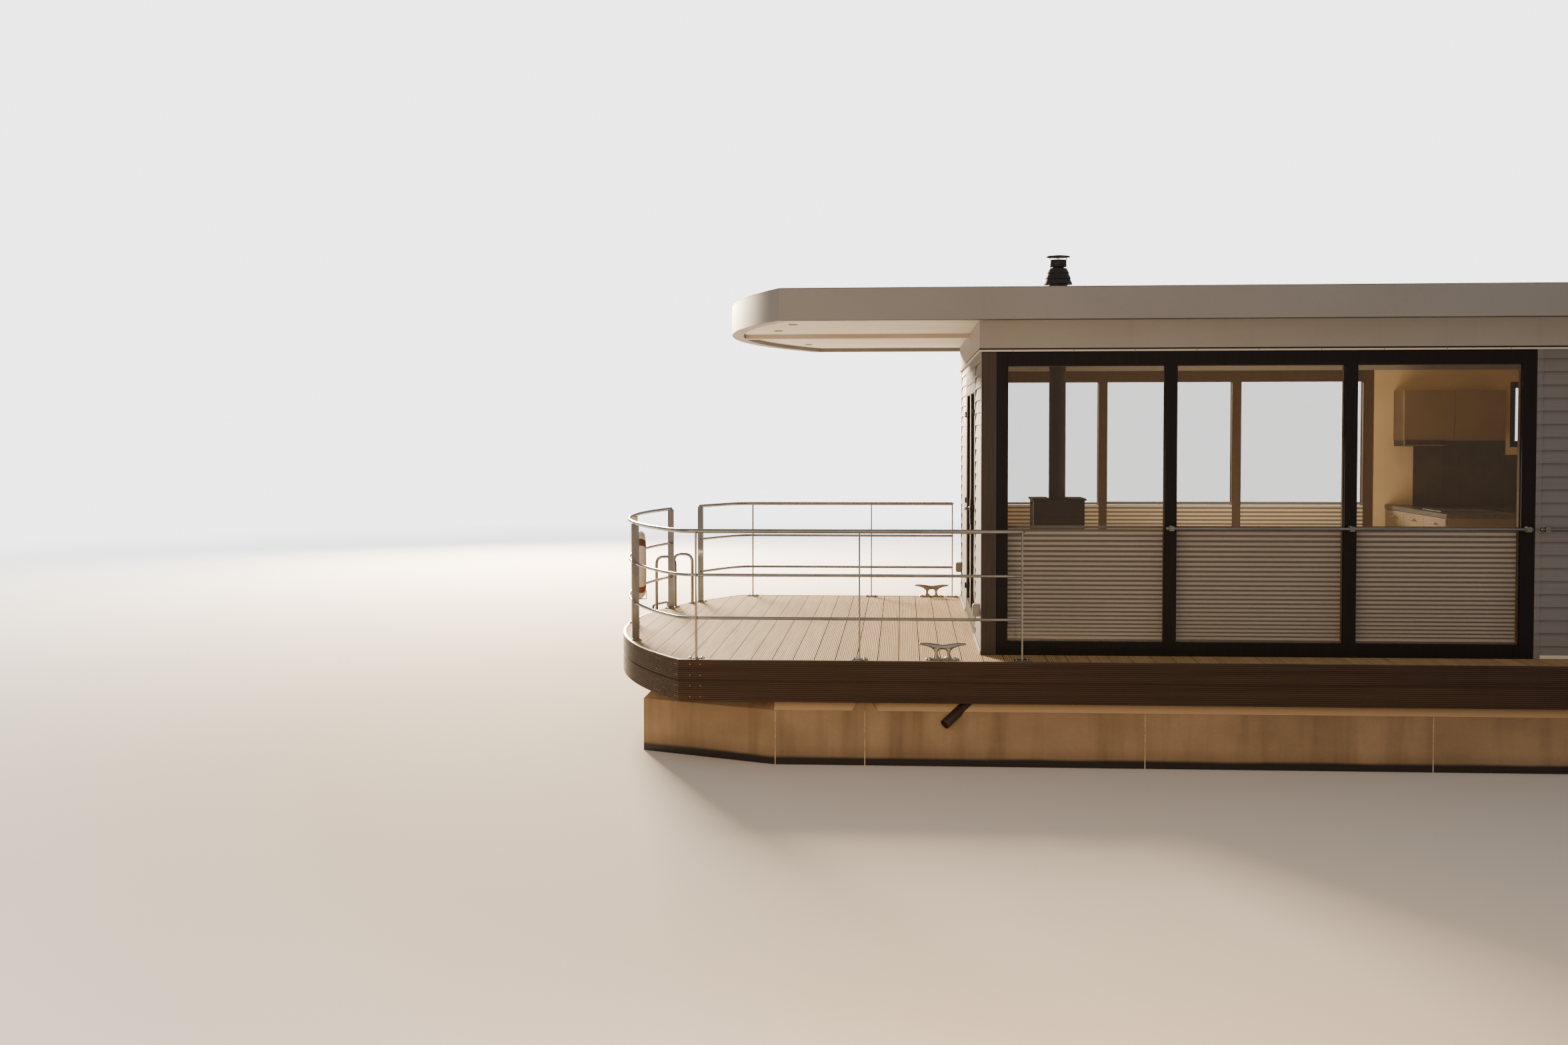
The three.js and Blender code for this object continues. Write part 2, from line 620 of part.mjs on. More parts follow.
const worktopUnder = DECK + GALLEY.worktop - GALLEY.thick;
addPart('galley_base', plan(galleyPlan(0), DECK + FLOOR + GAP, worktopUnder - GAP), paint.cabinet);
addPart('galley_worktop', plan(galleyPlan(GALLEY.nosing), worktopUnder, DECK + GALLEY.worktop),
  paint.worktop);
addPart('galley_wall_cabinets', block(
  [GALLEY.front - WALL_UNITS.setback, GALLEY_WINDOW.x + GALLEY_WINDOW.width / 2 + WALL_UNITS.clear],
  [inner.starboard + GAP, inner.starboard + WALL_UNITS.depth],
  [DECK + WALL_UNITS.low, DECK + WALL_UNITS.high]), paint.cabinet);

const BULKHEAD = { x: -3150, thick: 60, door: [-300, 450], doorHead: 2080 };
const bulkheadDoor = block([BULKHEAD.x - PAST, BULKHEAD.x + BULKHEAD.thick + PAST], BULKHEAD.door,
  [DECK, DECK + BULKHEAD.doorHead]);
const bulkhead = block([BULKHEAD.x, BULKHEAD.x + BULKHEAD.thick], [inner.starboard + GAP, inner.port - GAP],
  [DECK + FLOOR + GAP, DECK + CEILING - GAP]).subtract(bulkheadDoor);
addPart('bulkhead', bulkhead, paint.inside);

// Railings: flat-bar posts with foot plates, one thick top rail and two thin rails below it.
function post([x, y], turn) {
  const bar = new THREE.BoxGeometry(POST.width, POST.thick, RAIL.top);
  bar.translate(0, 0, RAIL.top / 2);
  const plate = new THREE.BoxGeometry(...POST.plate);
  plate.translate(0, 0, POST.plate[2] / 2);
  return [bar, plate].map((geometry) => {
    geometry.rotateZ(turn);
    geometry.translate(x, y, DECK + GAP);
    return solid(geometry);
  });
}

function railing(line, posts, steps) {
  const rails = [[RAIL.top, RAIL.topRadius], [RAIL.middle, RAIL.radius], [RAIL.low, RAIL.radius]]
    .map(([height, radius]) => tube(line.map(([x, y]) => [x, y, DECK + height]), radius, steps));
  const bars = posts.flatMap(([x, y, turn]) => post([x, y], turn));
  return join([...bars, ...rails]);
}

// Points along the bow rail from the port or starboard side (sign) round to the transverse place "end".
function bowRailLine(sign, start, end) {
  const side = DECK_FORM.half - RAIL.inset;
  const line = [start, (start + RAIL.bendFrom) / 2, RAIL.bendFrom - RAIL.easing, RAIL.bendFrom]
    .map((x) => [x, sign * side]);
  const first = side - RAIL.bend;
  const count = Math.max(3, Math.round(Math.abs(first - end) / RAIL.spacing));
  for (let k = 0; k <= count; k += 1) {
    const [x, y] = onArc(DECK_FORM, RAIL.bowInset, first + ((end - first) * k) / count);
    line.push([x, sign * y]);
  }
  return line;
}

function arcPost(y) {
  const { radius } = arcOf(DECK_FORM);
  const [x] = onArc(DECK_FORM, RAIL.bowInset, y);
  return [x, y, Math.asin(y / (radius - RAIL.bowInset))];
}

// Lifebuoy: a ring that sits in a flat holder on the inside of the bow rail.
const BUOY = { angle: 0.2, ring: 245, radius: 50, height: 598, clear: 19 };
const HOLDER = { half: 40, strap: 5, top: 80, blockHalf: [18, 16], lip: 70, tray: 6, reach: 10 };
BUOY.inset = RAIL.bowInset + RAIL.radius + BUOY.clear + BUOY.radius;

function buoyPlace() {
  const { radius, centre } = arcOf(DECK_FORM);
  const r = radius - BUOY.inset;
  return [centre + r * Math.cos(BUOY.angle), r * Math.sin(BUOY.angle), DECK + BUOY.height];
}

function buoyHolder() {
  const back = BUOY.radius + GAP;
  const foot = -BUOY.ring - BUOY.radius - 1;
  const width = [-HOLDER.half, HOLDER.half];
  const [blockHalf, blockRise] = HOLDER.blockHalf;
  const front = -back - HOLDER.reach;
  const bars = [
    [[back, back + HOLDER.strap], width, [foot - HOLDER.tray, HOLDER.top]],
    ...[RAIL.middle, RAIL.low].map((height) => {
      const z = height - BUOY.height;
      return [[back + 1, back + BUOY.clear + 8], [-blockHalf, blockHalf], [z - blockRise, z + blockRise]];
    }),
    [[front, back + 2], width, [foot - HOLDER.tray, foot]],
    [[front, front + HOLDER.tray], width, [foot - 1, foot + HOLDER.lip]],
  ];
  return join(bars.map(([[x0, x1], [y0, y1], [z0, z1]]) => {
    const bar = new THREE.BoxGeometry(x1 - x0, y1 - y0, z1 - z0);
    bar.translate((x0 + x1) / 2, (y0 + y1) / 2, (z0 + z1) / 2);
    bar.rotateZ(BUOY.angle);
    bar.translate(...buoyPlace());
    return solid(bar);
  }));
}

const RAIL_SIDE = DECK_FORM.half - RAIL.inset;
const SIDE_POSTS = { port: [5700, 4440, 3203], starboard: [5700, 4440, 3590] };
const BOW_GAP = { from: -1190, to: -1790, post: 10 };

const portPosts = SIDE_POSTS.port.map((x) => [x, RAIL_SIDE, Math.PI / 2])
  .concat([1350, 100, BOW_GAP.from + BOW_GAP.post].map(arcPost));
const portRail = railing(bowRailLine(1, SIDE_POSTS.port[2] - RAIL.stub, BOW_GAP.from), portPosts, 40);
addPart('railing_port', portRail.add(buoyHolder()), paint.steel);

const starboardPosts = SIDE_POSTS.starboard.map((x) => [x, -RAIL_SIDE, Math.PI / 2])
  .concat([arcPost(BOW_GAP.to - BOW_GAP.post)]);
const starboardLine = bowRailLine(-1, SIDE_POSTS.starboard[2] - RAIL.stub, -BOW_GAP.to);
addPart('railing_starboard', railing(starboardLine, starboardPosts, 26), paint.steel);

// Stern railing: from the starboard wall round the stern, open at the port quarter for boarding.
const STERN_RAIL = { start: 120, bend: 160, straight: 60, end: 1000, posts: [-1300, -150, 990] };

function sternRailing() {
  const aft = DECK_FORM.stern + RAIL.inset;
  const forward = CABIN.rear - STERN_RAIL.start;
  const turn = aft + STERN_RAIL.bend;
  const line = [
    [forward, -RAIL_SIDE], [(forward + aft) / 2, -RAIL_SIDE], [turn, -RAIL_SIDE],
    [aft, -RAIL_SIDE + STERN_RAIL.bend], [aft, -STERN_RAIL.end], [aft, 0], [aft, STERN_RAIL.end],
  ];
  const posts = [forward, turn + STERN_RAIL.straight].map((x) => [x, -RAIL_SIDE, Math.PI / 2])
    .concat(STERN_RAIL.posts.map((y) => [aft, y, 0]));
  return railing(line, posts, 30);
}

addPart('railing_stern', sternRailing(), paint.steel);

// Rails in front of the windows and along the siding, on short brackets.
const GUARD = { height: 997, stand: 52, radius: 13, arm: 8, rosette: 22, rosetteThick: 6 };
const GUARD_RUN = { from: 2065, to: -660, brackets: [2040, 675, -640] };
const HANDRAIL_RUN = { from: -740, to: -4960, brackets: [-780, -2130, -3480, -4920] };

function guardRail({ face, out }, { from, to, brackets }) {
  const y = face + out * GUARD.stand;
  const z = DECK + GUARD.height;
  const root = face + out * GAP;
  const arms = brackets.map((x) => rod([x, root, z], [x, y, z], GUARD.arm, 10)
    .add(rod([x, root, z], [x, face + out * GUARD.rosetteThick, z], GUARD.rosette, 14)));
  return join([rod([from, y, z], [to, y, z], GUARD.radius, 12), ...arms]);
}

for (const side of SIDES) {
  addPart(`window_guard_${side.name}`, guardRail(side, GUARD_RUN), paint.steel);
}
addPart('walkway_handrail', guardRail(SIDES[0], HANDRAIL_RUN), paint.steel);

// Mooring cleats: a foot with a lobe at each end, two splayed legs round an eye, and a horn.
const CLEAT = { body: 30, foot: 44, base: 14, lobe: 32, lobeAt: 97, eye: 35, eyeHeight: 50, sides: 20 };
const CLEAT_SIDE = [
  [76, 8], [63, 28], [58, 50], [63, 70], [84, 91], [124, 106], [174, 115], [181, 122], [176, 131], [112, 132],
  [60, 126],
];

function cleat() {
  const { body, foot, base, lobe, lobeAt, eye, eyeHeight, sides } = CLEAT;
  const mirrored = CLEAT_SIDE.map(([x, z]) => [-x, z]).reverse();
  const cast = alongY([...CLEAT_SIDE, [0, 117], ...mirrored], -body / 2, body / 2);
  const hole = rod([0, -body, eyeHeight], [0, body, eyeHeight], eye, sides);
  const lobes = [-lobeAt, lobeAt].map((x) => rod([x, 0, 0], [x, 0, base], lobe, sides));
  return join([cast.subtract(hole), block([-lobeAt, lobeAt], [-foot / 2, foot / 2], [0, base]), ...lobes]);
}

const CLEATS = [
  ['cleat_port_bow', 3805, 2450], ['cleat_starboard_bow', 3805, -2450],
  ['cleat_port_stern', -5800, 2450], ['cleat_starboard_stern', -6050, -2380],
];
for (const [name, x, y] of CLEATS) {
  addPart(name, cleat(), paint.steel).position.set(x, y, DECK + GAP);
}

// The ring of the lifebuoy.
const buoyRing = new THREE.TorusGeometry(BUOY.ring, BUOY.radius, 12, 32);
buoyRing.rotateY(Math.PI / 2);
buoyRing.rotateZ(BUOY.angle);
buoyRing.translate(...buoyPlace());
addPart('lifebuoy', solid(buoyRing), paint.float);

// Swim ladder in the gap of the bow rail: two hoops over the deck's edge, and a lower part that folds up.
const LADDER = {
  y: -1490, half: 190, inboard: -60, outboard: 150, hoop: 500, bend: 60, tube: 15,
  foot: [40, 30, 8], tread: [26, 22, 12], treads: [-270, -540], bracket: { x: -3, half: 4, z: [-180, -140] },
};
const FOLD = {
  half: 164, tube: 12, x: 205, top: 10, inset: 8, pivotX: 177.5, pivotZ: -640, pin: 6, hole: 6.5, end: 14,
  below: 40, tread: [12, 36, 12], treads: [-90, -350], lug: [170, 178, 25], ear: [158, 165, 60],
};

function ladder() {
  const { radius } = arcOf(DECK_FORM);
  const [x] = onArc(DECK_FORM, 0, LADDER.y);
  const frame = new THREE.Group();
  frame.position.set(x, LADDER.y, DECK);
  frame.rotation.z = Math.asin(LADDER.y / radius);
  houseboat.add(frame);

  const { half, inboard, outboard, hoop, bend, foot, tread, bracket } = LADDER;
  const { pivotX, pivotZ, lug, ear, end } = FOLD;
  const fixed = [];
  for (const s of [-1, 1]) {
    const y = s * half;
    const line = [
      [inboard, y, GAP], [inboard, y, hoop / 2], [inboard, y, hoop - bend], [inboard + bend, y, hoop],
      [outboard - bend, y, hoop], [outboard, y, hoop - bend], [outboard, y, 0], [outboard, y, pivotZ / 2],
      [outboard, y, pivotZ],
    ];
    fixed.push(tube(line, LADDER.tube, 30));
    fixed.push(block([inboard - foot[0], inboard + foot[0]], [y - foot[1], y + foot[1]], [GAP, foot[2]]));
    fixed.push(block([bracket.x, outboard], [y - bracket.half, y + bracket.half], bracket.z));
    fixed.push(block([outboard, pivotX + end], [s * lug[0], s * lug[1]], [pivotZ - end, pivotZ + lug[2]]));
    fixed.push(rod([pivotX, s * (ear[0] - 4), pivotZ], [pivotX, s * (lug[1] - 2), pivotZ], FOLD.pin, 14));
  }
  for (const z of LADDER.treads) {
    fixed.push(block([outboard - tread[0], outboard + tread[1]], [-half, half],
      [z - tread[2], z + tread[2]]));
  }
  addPart('swim_ladder_frame', join(fixed), paint.steel, frame);

  const fold = [];
  for (const s of [-1, 1]) {
    const y = s * FOLD.half;
    fold.push(rod([FOLD.x, y, pivotZ + FOLD.below], [FOLD.x, y, FOLD.top], FOLD.tube, 12));
    fold.push(block([pivotX - end, FOLD.x + 4], [s * ear[0], s * ear[1]], [pivotZ - end, pivotZ + ear[2]])
      .subtract(rod([pivotX, s * (ear[0] - 8), pivotZ], [pivotX, s * (ear[1] + 7), pivotZ], FOLD.hole, 14)));
  }
  for (const z of FOLD.treads) {
    const [behind, ahead, rise] = FOLD.tread;
    fold.push(block([FOLD.x - behind, FOLD.x + ahead], [-FOLD.half, FOLD.half], [z - rise, z + rise]));
  }
  const bar = FOLD.top - FOLD.inset;
  fold.push(rod([FOLD.x, -FOLD.half, bar], [FOLD.x, FOLD.half, bar], FOLD.tube, 12));
  addPart('swim_ladder_fold', join(fold), paint.steel, frame);
}

ladder();

export default houseboat;
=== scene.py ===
# %% [markdown]
# A houseboat in a plain studio. The imported model brings the construction: the pontoon, the cabin, the
# railings and all that moves. This lesson adds what the eye reads from a step away, which is grooved deck
# boards, pleated blinds, round rail tubes and the finish of each surface. All sizes are metres, +X points to
# the bow, +Y to port and +Z up. The first cell loads the frame and gives a way to read each part's box.

# %% Load the imported model
import bpy
import math
import numpy as np
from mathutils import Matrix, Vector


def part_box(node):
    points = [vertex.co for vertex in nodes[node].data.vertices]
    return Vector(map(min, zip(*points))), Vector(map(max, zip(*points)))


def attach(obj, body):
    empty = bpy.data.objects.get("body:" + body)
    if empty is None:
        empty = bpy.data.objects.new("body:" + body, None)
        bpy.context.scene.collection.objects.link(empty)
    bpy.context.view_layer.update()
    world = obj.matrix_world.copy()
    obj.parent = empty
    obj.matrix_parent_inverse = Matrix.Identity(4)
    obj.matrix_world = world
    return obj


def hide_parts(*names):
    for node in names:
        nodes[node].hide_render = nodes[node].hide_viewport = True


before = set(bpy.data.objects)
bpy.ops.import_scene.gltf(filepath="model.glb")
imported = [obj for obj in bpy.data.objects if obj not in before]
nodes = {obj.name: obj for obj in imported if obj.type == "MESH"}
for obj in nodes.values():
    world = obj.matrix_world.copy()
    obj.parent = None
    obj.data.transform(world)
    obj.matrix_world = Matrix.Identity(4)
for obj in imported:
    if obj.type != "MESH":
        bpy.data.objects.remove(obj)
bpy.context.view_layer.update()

# %% [markdown]
# A few levels and outlines decide where everything sits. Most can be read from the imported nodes, so a
# change in the construction moves the new pieces too. The deck and the roof share one kind of outline:
# straight sides, a square stern and one arc across the bow. SEAM is the gap that a piece keeps from what
# it lies on.

# %% Levels and outlines from the frame
WATERLINE = 0.65
DECK_UNDER, DECK = (corner.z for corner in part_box("deck_platform"))
ROOF_LOW, ROOF_HIGH = (corner.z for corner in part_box("roof_fascia"))
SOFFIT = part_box("roof_panel")[0].z + 0.035
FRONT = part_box("front_wall")[1].x
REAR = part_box("rear_wall")[0].x
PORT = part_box("window_frame_port")[1].y
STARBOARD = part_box("window_frame_starboard")[0].y
FRAME_REAR, FRAME_FRONT = (corner.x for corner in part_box("window_frame_port"))
DECK_FORM = {"tip": 6.62, "sagitta": 0.79, "half": 2.55, "stern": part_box("fascia_stern")[0].x}
ROOF_FORM = {"tip": 5.635, "sagitta": 0.59, "half": 2.57, "stern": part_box("roof_fascia")[0].x}
SEAM = 0.0003


def arc_of(form):
    """Radius, centre and reach of the bow's arc: r = (half^2 + sagitta^2) / (2 sagitta)."""
    radius = (form["half"] ** 2 + form["sagitta"] ** 2) / (2 * form["sagitta"])
    return radius, form["tip"] - radius, math.asin(form["half"] / radius)


def on_arc(form, inset, y):
    """The point of the bow's arc, moved in by inset, at a given y: x = centre + sqrt(r^2 - y^2)."""
    radius, centre, _ = arc_of(form)
    return centre + np.sqrt((radius - inset) ** 2 - np.square(y))


def corner_of(form, inset):
    """The x where the straight side meets the arc, both moved in by inset."""
    return float(on_arc(form, inset, form["half"] - inset))


def bow_curve(form, inset, steps=41):
    """The arc as points from starboard to port: centre + r (cos a, sin a) for angles within its reach."""
    radius, centre, _ = arc_of(form)
    r = radius - inset
    limit = math.asin((form["half"] - inset) / r)
    angle = np.linspace(-limit, limit, steps)
    return np.stack([centre + r * np.cos(angle), r * np.sin(angle)], axis=1)


print("deck top", round(DECK, 4), "roof", round(ROOF_LOW, 3), round(ROOF_HIGH, 3))

# %% [markdown]
# The camera stands where the photograph was taken: on the port side, level with the bow end of the glass,
# with its eye 1.75 m over the deck. The fit of the parallel edges gave its place, turn and focal length. The
# small shift keeps the horizon where the frame has it.

# %% The camera
CAMERA = {"place": (4.110, 15.310, DECK + 1.755), "lens": 38.57, "shift": -0.0193,
          "tilt": 90 - 2.091, "roll": 0.081, "turn": 180 + 4.045}
camera_data = bpy.data.cameras.new("camera")
camera_data.sensor_width = 36.0
camera_data.lens = CAMERA["lens"]
camera_data.shift_y = CAMERA["shift"]
camera_data.clip_end = 400.0
camera = bpy.data.objects.new("camera", camera_data)
camera.location = CAMERA["place"]
camera.rotation_euler = [math.radians(CAMERA[key]) for key in ("tilt", "roll", "turn")]
bpy.context.scene.collection.objects.link(camera)
bpy.context.scene.camera = camera

# %% [markdown]
# The studio is a pale floor at the waterline and soft light. One wide, warm lamp stands low beyond the
# starboard bow, where the evening light comes from, and a broad cool one fills the port side. The
# background lights the rest evenly. It looks much brighter than it lights, as an evening sky does behind a
# boat in its own shade. A third lamp gives the bow its golden edge. A fourth stands low and warms the
# pontoon, as the bright water does, and leaves no image of itself in the glass. A small one keeps the
# saloon's ceiling warm. The lamps themselves are hidden from the camera.

# %% Floor and light
SKY = {"colour": (0.93, 0.925, 0.925), "light": 0.36, "seen": 4.2}
FLOOR = {"half": 150, "full": 9.0, "gone": 34.0}
LAMPS = {
    "evening_lamp": {"place": (13, -21, 8.5), "target": (2, 0, 2.0), "size": 5.0, "power": 25000,
                     "colour": (1.0, 0.78, 0.52)},
    "fill_lamp": {"place": (1, 21, 11.0), "target": (1, 0, 2.0), "size": 14.0, "power": 230,
                  "colour": (0.84, 0.91, 1.0)},
    "glow_lamp": {"place": (10, 12, 3.6), "target": (4.5, 2, 2.0), "size": 5.0, "power": 300,
                  "colour": (1.0, 0.60, 0.28)},
    "water_lamp": {"place": (3.6, 10.5, 2.6), "target": (2.6, 2.4, 0.95), "size": 3.2, "power": 185,
                   "colour": (1.0, 0.64, 0.32), "mirrored": False},
    "room_lamp": {"place": (0.6, -0.4, DECK + 0.55), "target": (0.6, -0.8, DECK + 2.3), "size": 2.4,
                  "power": 70, "colour": (1.0, 0.76, 0.48)},
}
corners = np.array([(-1, -1, 0), (1, -1, 0), (1, 1, 0), (-1, 1, 0)]) * FLOOR["half"] + (0, 0, WATERLINE)
floor_data = bpy.data.meshes.new("studio_floor")
floor_data.from_pydata(corners.tolist(), [], [(0, 1, 2, 3)])
floor = bpy.data.objects.new("studio_floor", floor_data)
bpy.context.scene.collection.objects.link(floor)

world = bpy.data.worlds.new("studio")
bpy.context.scene.world = world
world.use_nodes = True
sky = world.node_tree.nodes["Background"]
sky.inputs["Color"].default_value = (*SKY["colour"], 1)
seen = world.node_tree.nodes.new("ShaderNodeLightPath").outputs["Is Camera Ray"]
strength = world.node_tree.nodes.new("ShaderNodeMapRange")
strength.inputs["To Min"].default_value = SKY["light"]
strength.inputs["To Max"].default_value = SKY["seen"]
world.node_tree.links.new(seen, strength.inputs["Value"])
world.node_tree.links.new(strength.outputs["Result"], sky.inputs["Strength"])


def area_lamp(name, place, target, size, power, colour, mirrored=True):
    """A square lamp at a place, turned to face a target. Without "mirrored" no gloss shows its image."""
    data = bpy.data.lights.new(name, "AREA")
    data.shape = "SQUARE"
    data.size = size
    data.energy = power
    data.color = colour
    lamp = bpy.data.objects.new(name, data)
    lamp.location = place
    aim = np.array(target, float) - np.array(place, float)
    lamp.rotation_euler = (
        math.atan2(math.hypot(aim[0], aim[1]), -aim[2]), 0.0, math.atan2(aim[1], aim[0]) - math.pi / 2)
    lamp.visible_camera = False
    lamp.visible_glossy = mirrored
    bpy.context.scene.collection.objects.link(lamp)


for name, settings in LAMPS.items():
    area_lamp(name, **settings)

# %% [markdown]
# Every finish is a Principled material with procedural detail. Patterns read Object coordinates, which are
# metres from the boat's origin, because each piece's object sits at the origin. A small set of helpers
# adds the two things that most finishes need: a colour that varies with noise, and a bump from a height.

# %% Helpers for materials
class Finish:
    """A material under construction: its tree, its shader and short ways to add nodes."""

    def __init__(self, name, colour, roughness, metallic=0.0):
        self.material = bpy.data.materials.new(name)
        self.material.use_nodes = True
        self.tree = self.material.node_tree
        self.shader = self.tree.nodes["Principled BSDF"]
        self.feed(self.shader, {"Base Color": colour, "Roughness": roughness, "Metallic": metallic})
        self.place = self.tree.nodes.new("ShaderNodeTexCoord").outputs["Object"]

    def feed(self, node, inputs):
        """Fills inputs of a node, by name or number. Each value is a socket to link or plain numbers."""
        for key, value in inputs.items():
            socket = node.inputs[key]
            if isinstance(value, bpy.types.NodeSocket):
                self.tree.links.new(value, socket)
            else:
                socket.default_value = (*value, 1) if socket.type == "RGBA" else value
        return node

    def stretched(self, x, y, z):
        """Object coordinates scaled along each axis, so that a noise can be drawn out into streaks."""
        node = self.tree.nodes.new("ShaderNodeMapping")
        return self.feed(node, {"Scale": (x, y, z), "Vector": self.place}).outputs["Vector"]

    def noise(self, vector, scale, detail=4.0, roughness=0.55):
        node = self.tree.nodes.new("ShaderNodeTexNoise")
        inputs = {"Scale": scale, "Detail": detail, "Roughness": roughness, "Vector": vector}
        return self.feed(node, inputs).outputs["Fac"]

    def maths(self, operation, *values):
        """One arithmetic step on sockets or numbers."""
        node = self.tree.nodes.new("ShaderNodeMath")
        node.operation = operation
        return self.feed(node, dict(enumerate(values))).outputs["Value"]

    def axis(self, name):
        """One Object coordinate, X, Y or Z, in metres."""
        node = self.tree.nodes.new("ShaderNodeSeparateXYZ")
        return self.feed(node, {"Vector": self.place}).outputs[name]

    def span(self, value, low, high, to_low=0.0, to_high=1.0):
        """A value mapped from low..high to a new range, and held at its ends."""
        node = self.tree.nodes.new("ShaderNodeMapRange")
        inputs = {"From Min": low, "From Max": high, "To Min": to_low, "To Max": to_high, "Value": value}
        return self.feed(node, inputs).outputs["Result"]

    def mix(self, factor, a, b):
        """Two colours mixed by a factor; each is a socket or three numbers."""
        node = self.tree.nodes.new("ShaderNodeMix")
        node.data_type = "RGBA"
        first, second = [k for k, socket in enumerate(node.inputs) if socket.type == "RGBA"]
        self.feed(node, {"Factor": factor, first: a, second: b})
        return next(socket for socket in node.outputs if socket.type == "RGBA")

    def blend(self, a, b, value, low, high, most=1.0):
        """Colour a, mixed towards b where a value rises from low to high; "most" is b's largest share."""
        return self.mix(self.span(value, low, high, 0.0, most), a, b)

    def colour(self, source):
        self.feed(self.shader, {"Base Color": source})

    def rough(self, source, low, high):
        """Roughness that follows a value between 0 and 1."""
        self.feed(self.shader, {"Roughness": self.span(source, 0.0, 1.0, low, high)})

    def bump(self, height, distance, strength):
        node = self.tree.nodes.new("ShaderNodeBump")
        self.feed(node, {"Distance": distance, "Strength": strength, "Height": height})
        self.feed(self.shader, {"Normal": node.outputs["Normal"]})


def linear(red, green, blue):
    """A screen colour, 0 to 255, as the linear light that shaders work in."""
    values = np.array([red, green, blue]) / 255.0
    curve = ((values + 0.055) / 1.055) ** 2.4
    return tuple(float(v) for v in np.where(values <= 0.04045, values / 12.92, curve))


def give(material, *names):
    """Puts a finished material on CAD nodes; it goes into the slots of their objects."""
    for name in names:
        for slot in nodes[name].material_slots:
            slot.material = material


def floor_finish():
    """A pale matt floor that fades out with the distance r = sqrt(x^2 + y^2), so that no horizon shows."""
    f = Finish("studio_floor", linear(232, 226, 217), 0.9)
    square = [f.maths("MULTIPLY", f.axis(name), f.axis(name)) for name in ("X", "Y")]
    distance = f.maths("SQRT", f.maths("ADD", *square))
    f.feed(f.shader, {"Alpha": f.span(distance, FLOOR["full"], FLOOR["gone"], 1.0, 0.0)})
    return f.material


floor_data.materials.append(floor_finish())

# %% [markdown]
# The pontoon is cast concrete with a thin pale coat. It has cloudy patches, faint rust-brown runs down from
# the deck, and a dark wet band that ends a few centimetres over the water. The band's edge wanders, so the
# height is disturbed by a noise before it is compared with the water's level. The bevel under the deck is
# painted paler, as painted light from the bright water below. It is found as what lies above its lower edge
# and further in than the sides.

# %% Concrete
HULL = {"side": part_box("pontoon")[1].y, "stern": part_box("pontoon")[0].x, "bow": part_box("pontoon")[1].x,
        "bevel": DECK - 0.400, "facet": 5.100}
WET = {"band": (0.040, 0.062), "damp": (0.05, 0.15), "wander": 0.02}


def concrete_finish():
    f = Finish("coated_concrete", linear(178, 158, 130), 0.75)
    clouds = f.noise(f.stretched(1.0, 1.0, 1.4), 1.3, 6.0)
    runs = f.noise(f.stretched(6.0, 6.0, 0.4), 1.0, 3.0)
    grain = f.noise(f.place, 70.0, 3.0, 0.6)
    tone = f.blend(linear(160, 136, 106), linear(129, 107, 81), clouds, 0.3, 0.75)
    tone = f.blend(tone, linear(104, 84, 58), runs, 0.46, 0.7, 0.60)
    tone = f.blend(tone, linear(94, 77, 58), grain, 0.35, 0.7, 0.14)
    wander = f.maths("MULTIPLY", f.noise(f.stretched(1.5, 1.5, 0.1), 1.0, 3.0), -WET["wander"])
    edge = f.maths("ADD", f.axis("Z"), wander)
    wet, damp = (f.span(edge, WATERLINE + WET[key][0], WATERLINE + WET[key][1], share, 0.0)
                 for key, share in (("band", 1.0), ("damp", 0.45)))
    tone = f.mix(damp, tone, linear(92, 76, 56))
    # Painted light: the bevel under the deck, behind the bow's facets, is painted paler, as if lit by the
    # water.
    further_in = f.maths("LESS_THAN", f.maths("ABSOLUTE", f.axis("Y")), HULL["side"] - 0.002)
    behind_bow = f.maths("LESS_THAN", f.axis("X"), HULL["facet"])
    painted_bevel_light = f.maths("MULTIPLY", f.span(f.axis("Z"), HULL["bevel"], HULL["bevel"] + 0.003, 0.0, 0.8), further_in)
    tone = f.mix(f.maths("MULTIPLY", painted_bevel_light, behind_bow), tone, linear(212, 186, 152))
    f.colour(f.mix(wet, tone, linear(30, 24, 17)))
    f.rough(wet, 0.78, 0.3)
    f.bump(f.maths("ADD", f.maths("MULTIPLY", clouds, 0.5), f.maths("MULTIPLY", grain, 0.25)), 0.003, 0.5)
    return f.material


give(concrete_finish(), "pontoon")

# %% [markdown]
# Deck and fascia are brown wood-composite boards, the deck's pale and the fascia's dark. Each board has
# its own tone, which comes from a random value of its number across the deck, and fine streaks along its
# length. The grooves between the ribs are painted darker than the tops, and the joints between boards
# nearly black: painted shade in these hollows. So depth also drives the colour.

# %% Board finishes
BOARD = {"pitch": 0.1617, "start": 4.137, "butts": (1.26, 2.12), "butt": 0.0015}
RIB = {"pitch": 0.0150, "groove": 0.0060, "depth": 0.0022}
FASCIA = {"thick": 0.025, "drop": 0.32, "joint": 0.005, "deep": 0.008, "rim": 0.004, "foot": 0.003,
          "slope": 0.001, "plain": 0.006, "last_groove": 0.008}
FASCIA_SEAM = DECK - FASCIA["drop"] / 2
FASCIA_FIRST = {"upper": DECK - 0.014, "lower": FASCIA_SEAM - 0.0065}
GROOVE_SHADE = {"rib": (0.0016, 0.0006, 0.68), "joint": (0.0060, 0.0030, 0.97), "fascia": 0.75}


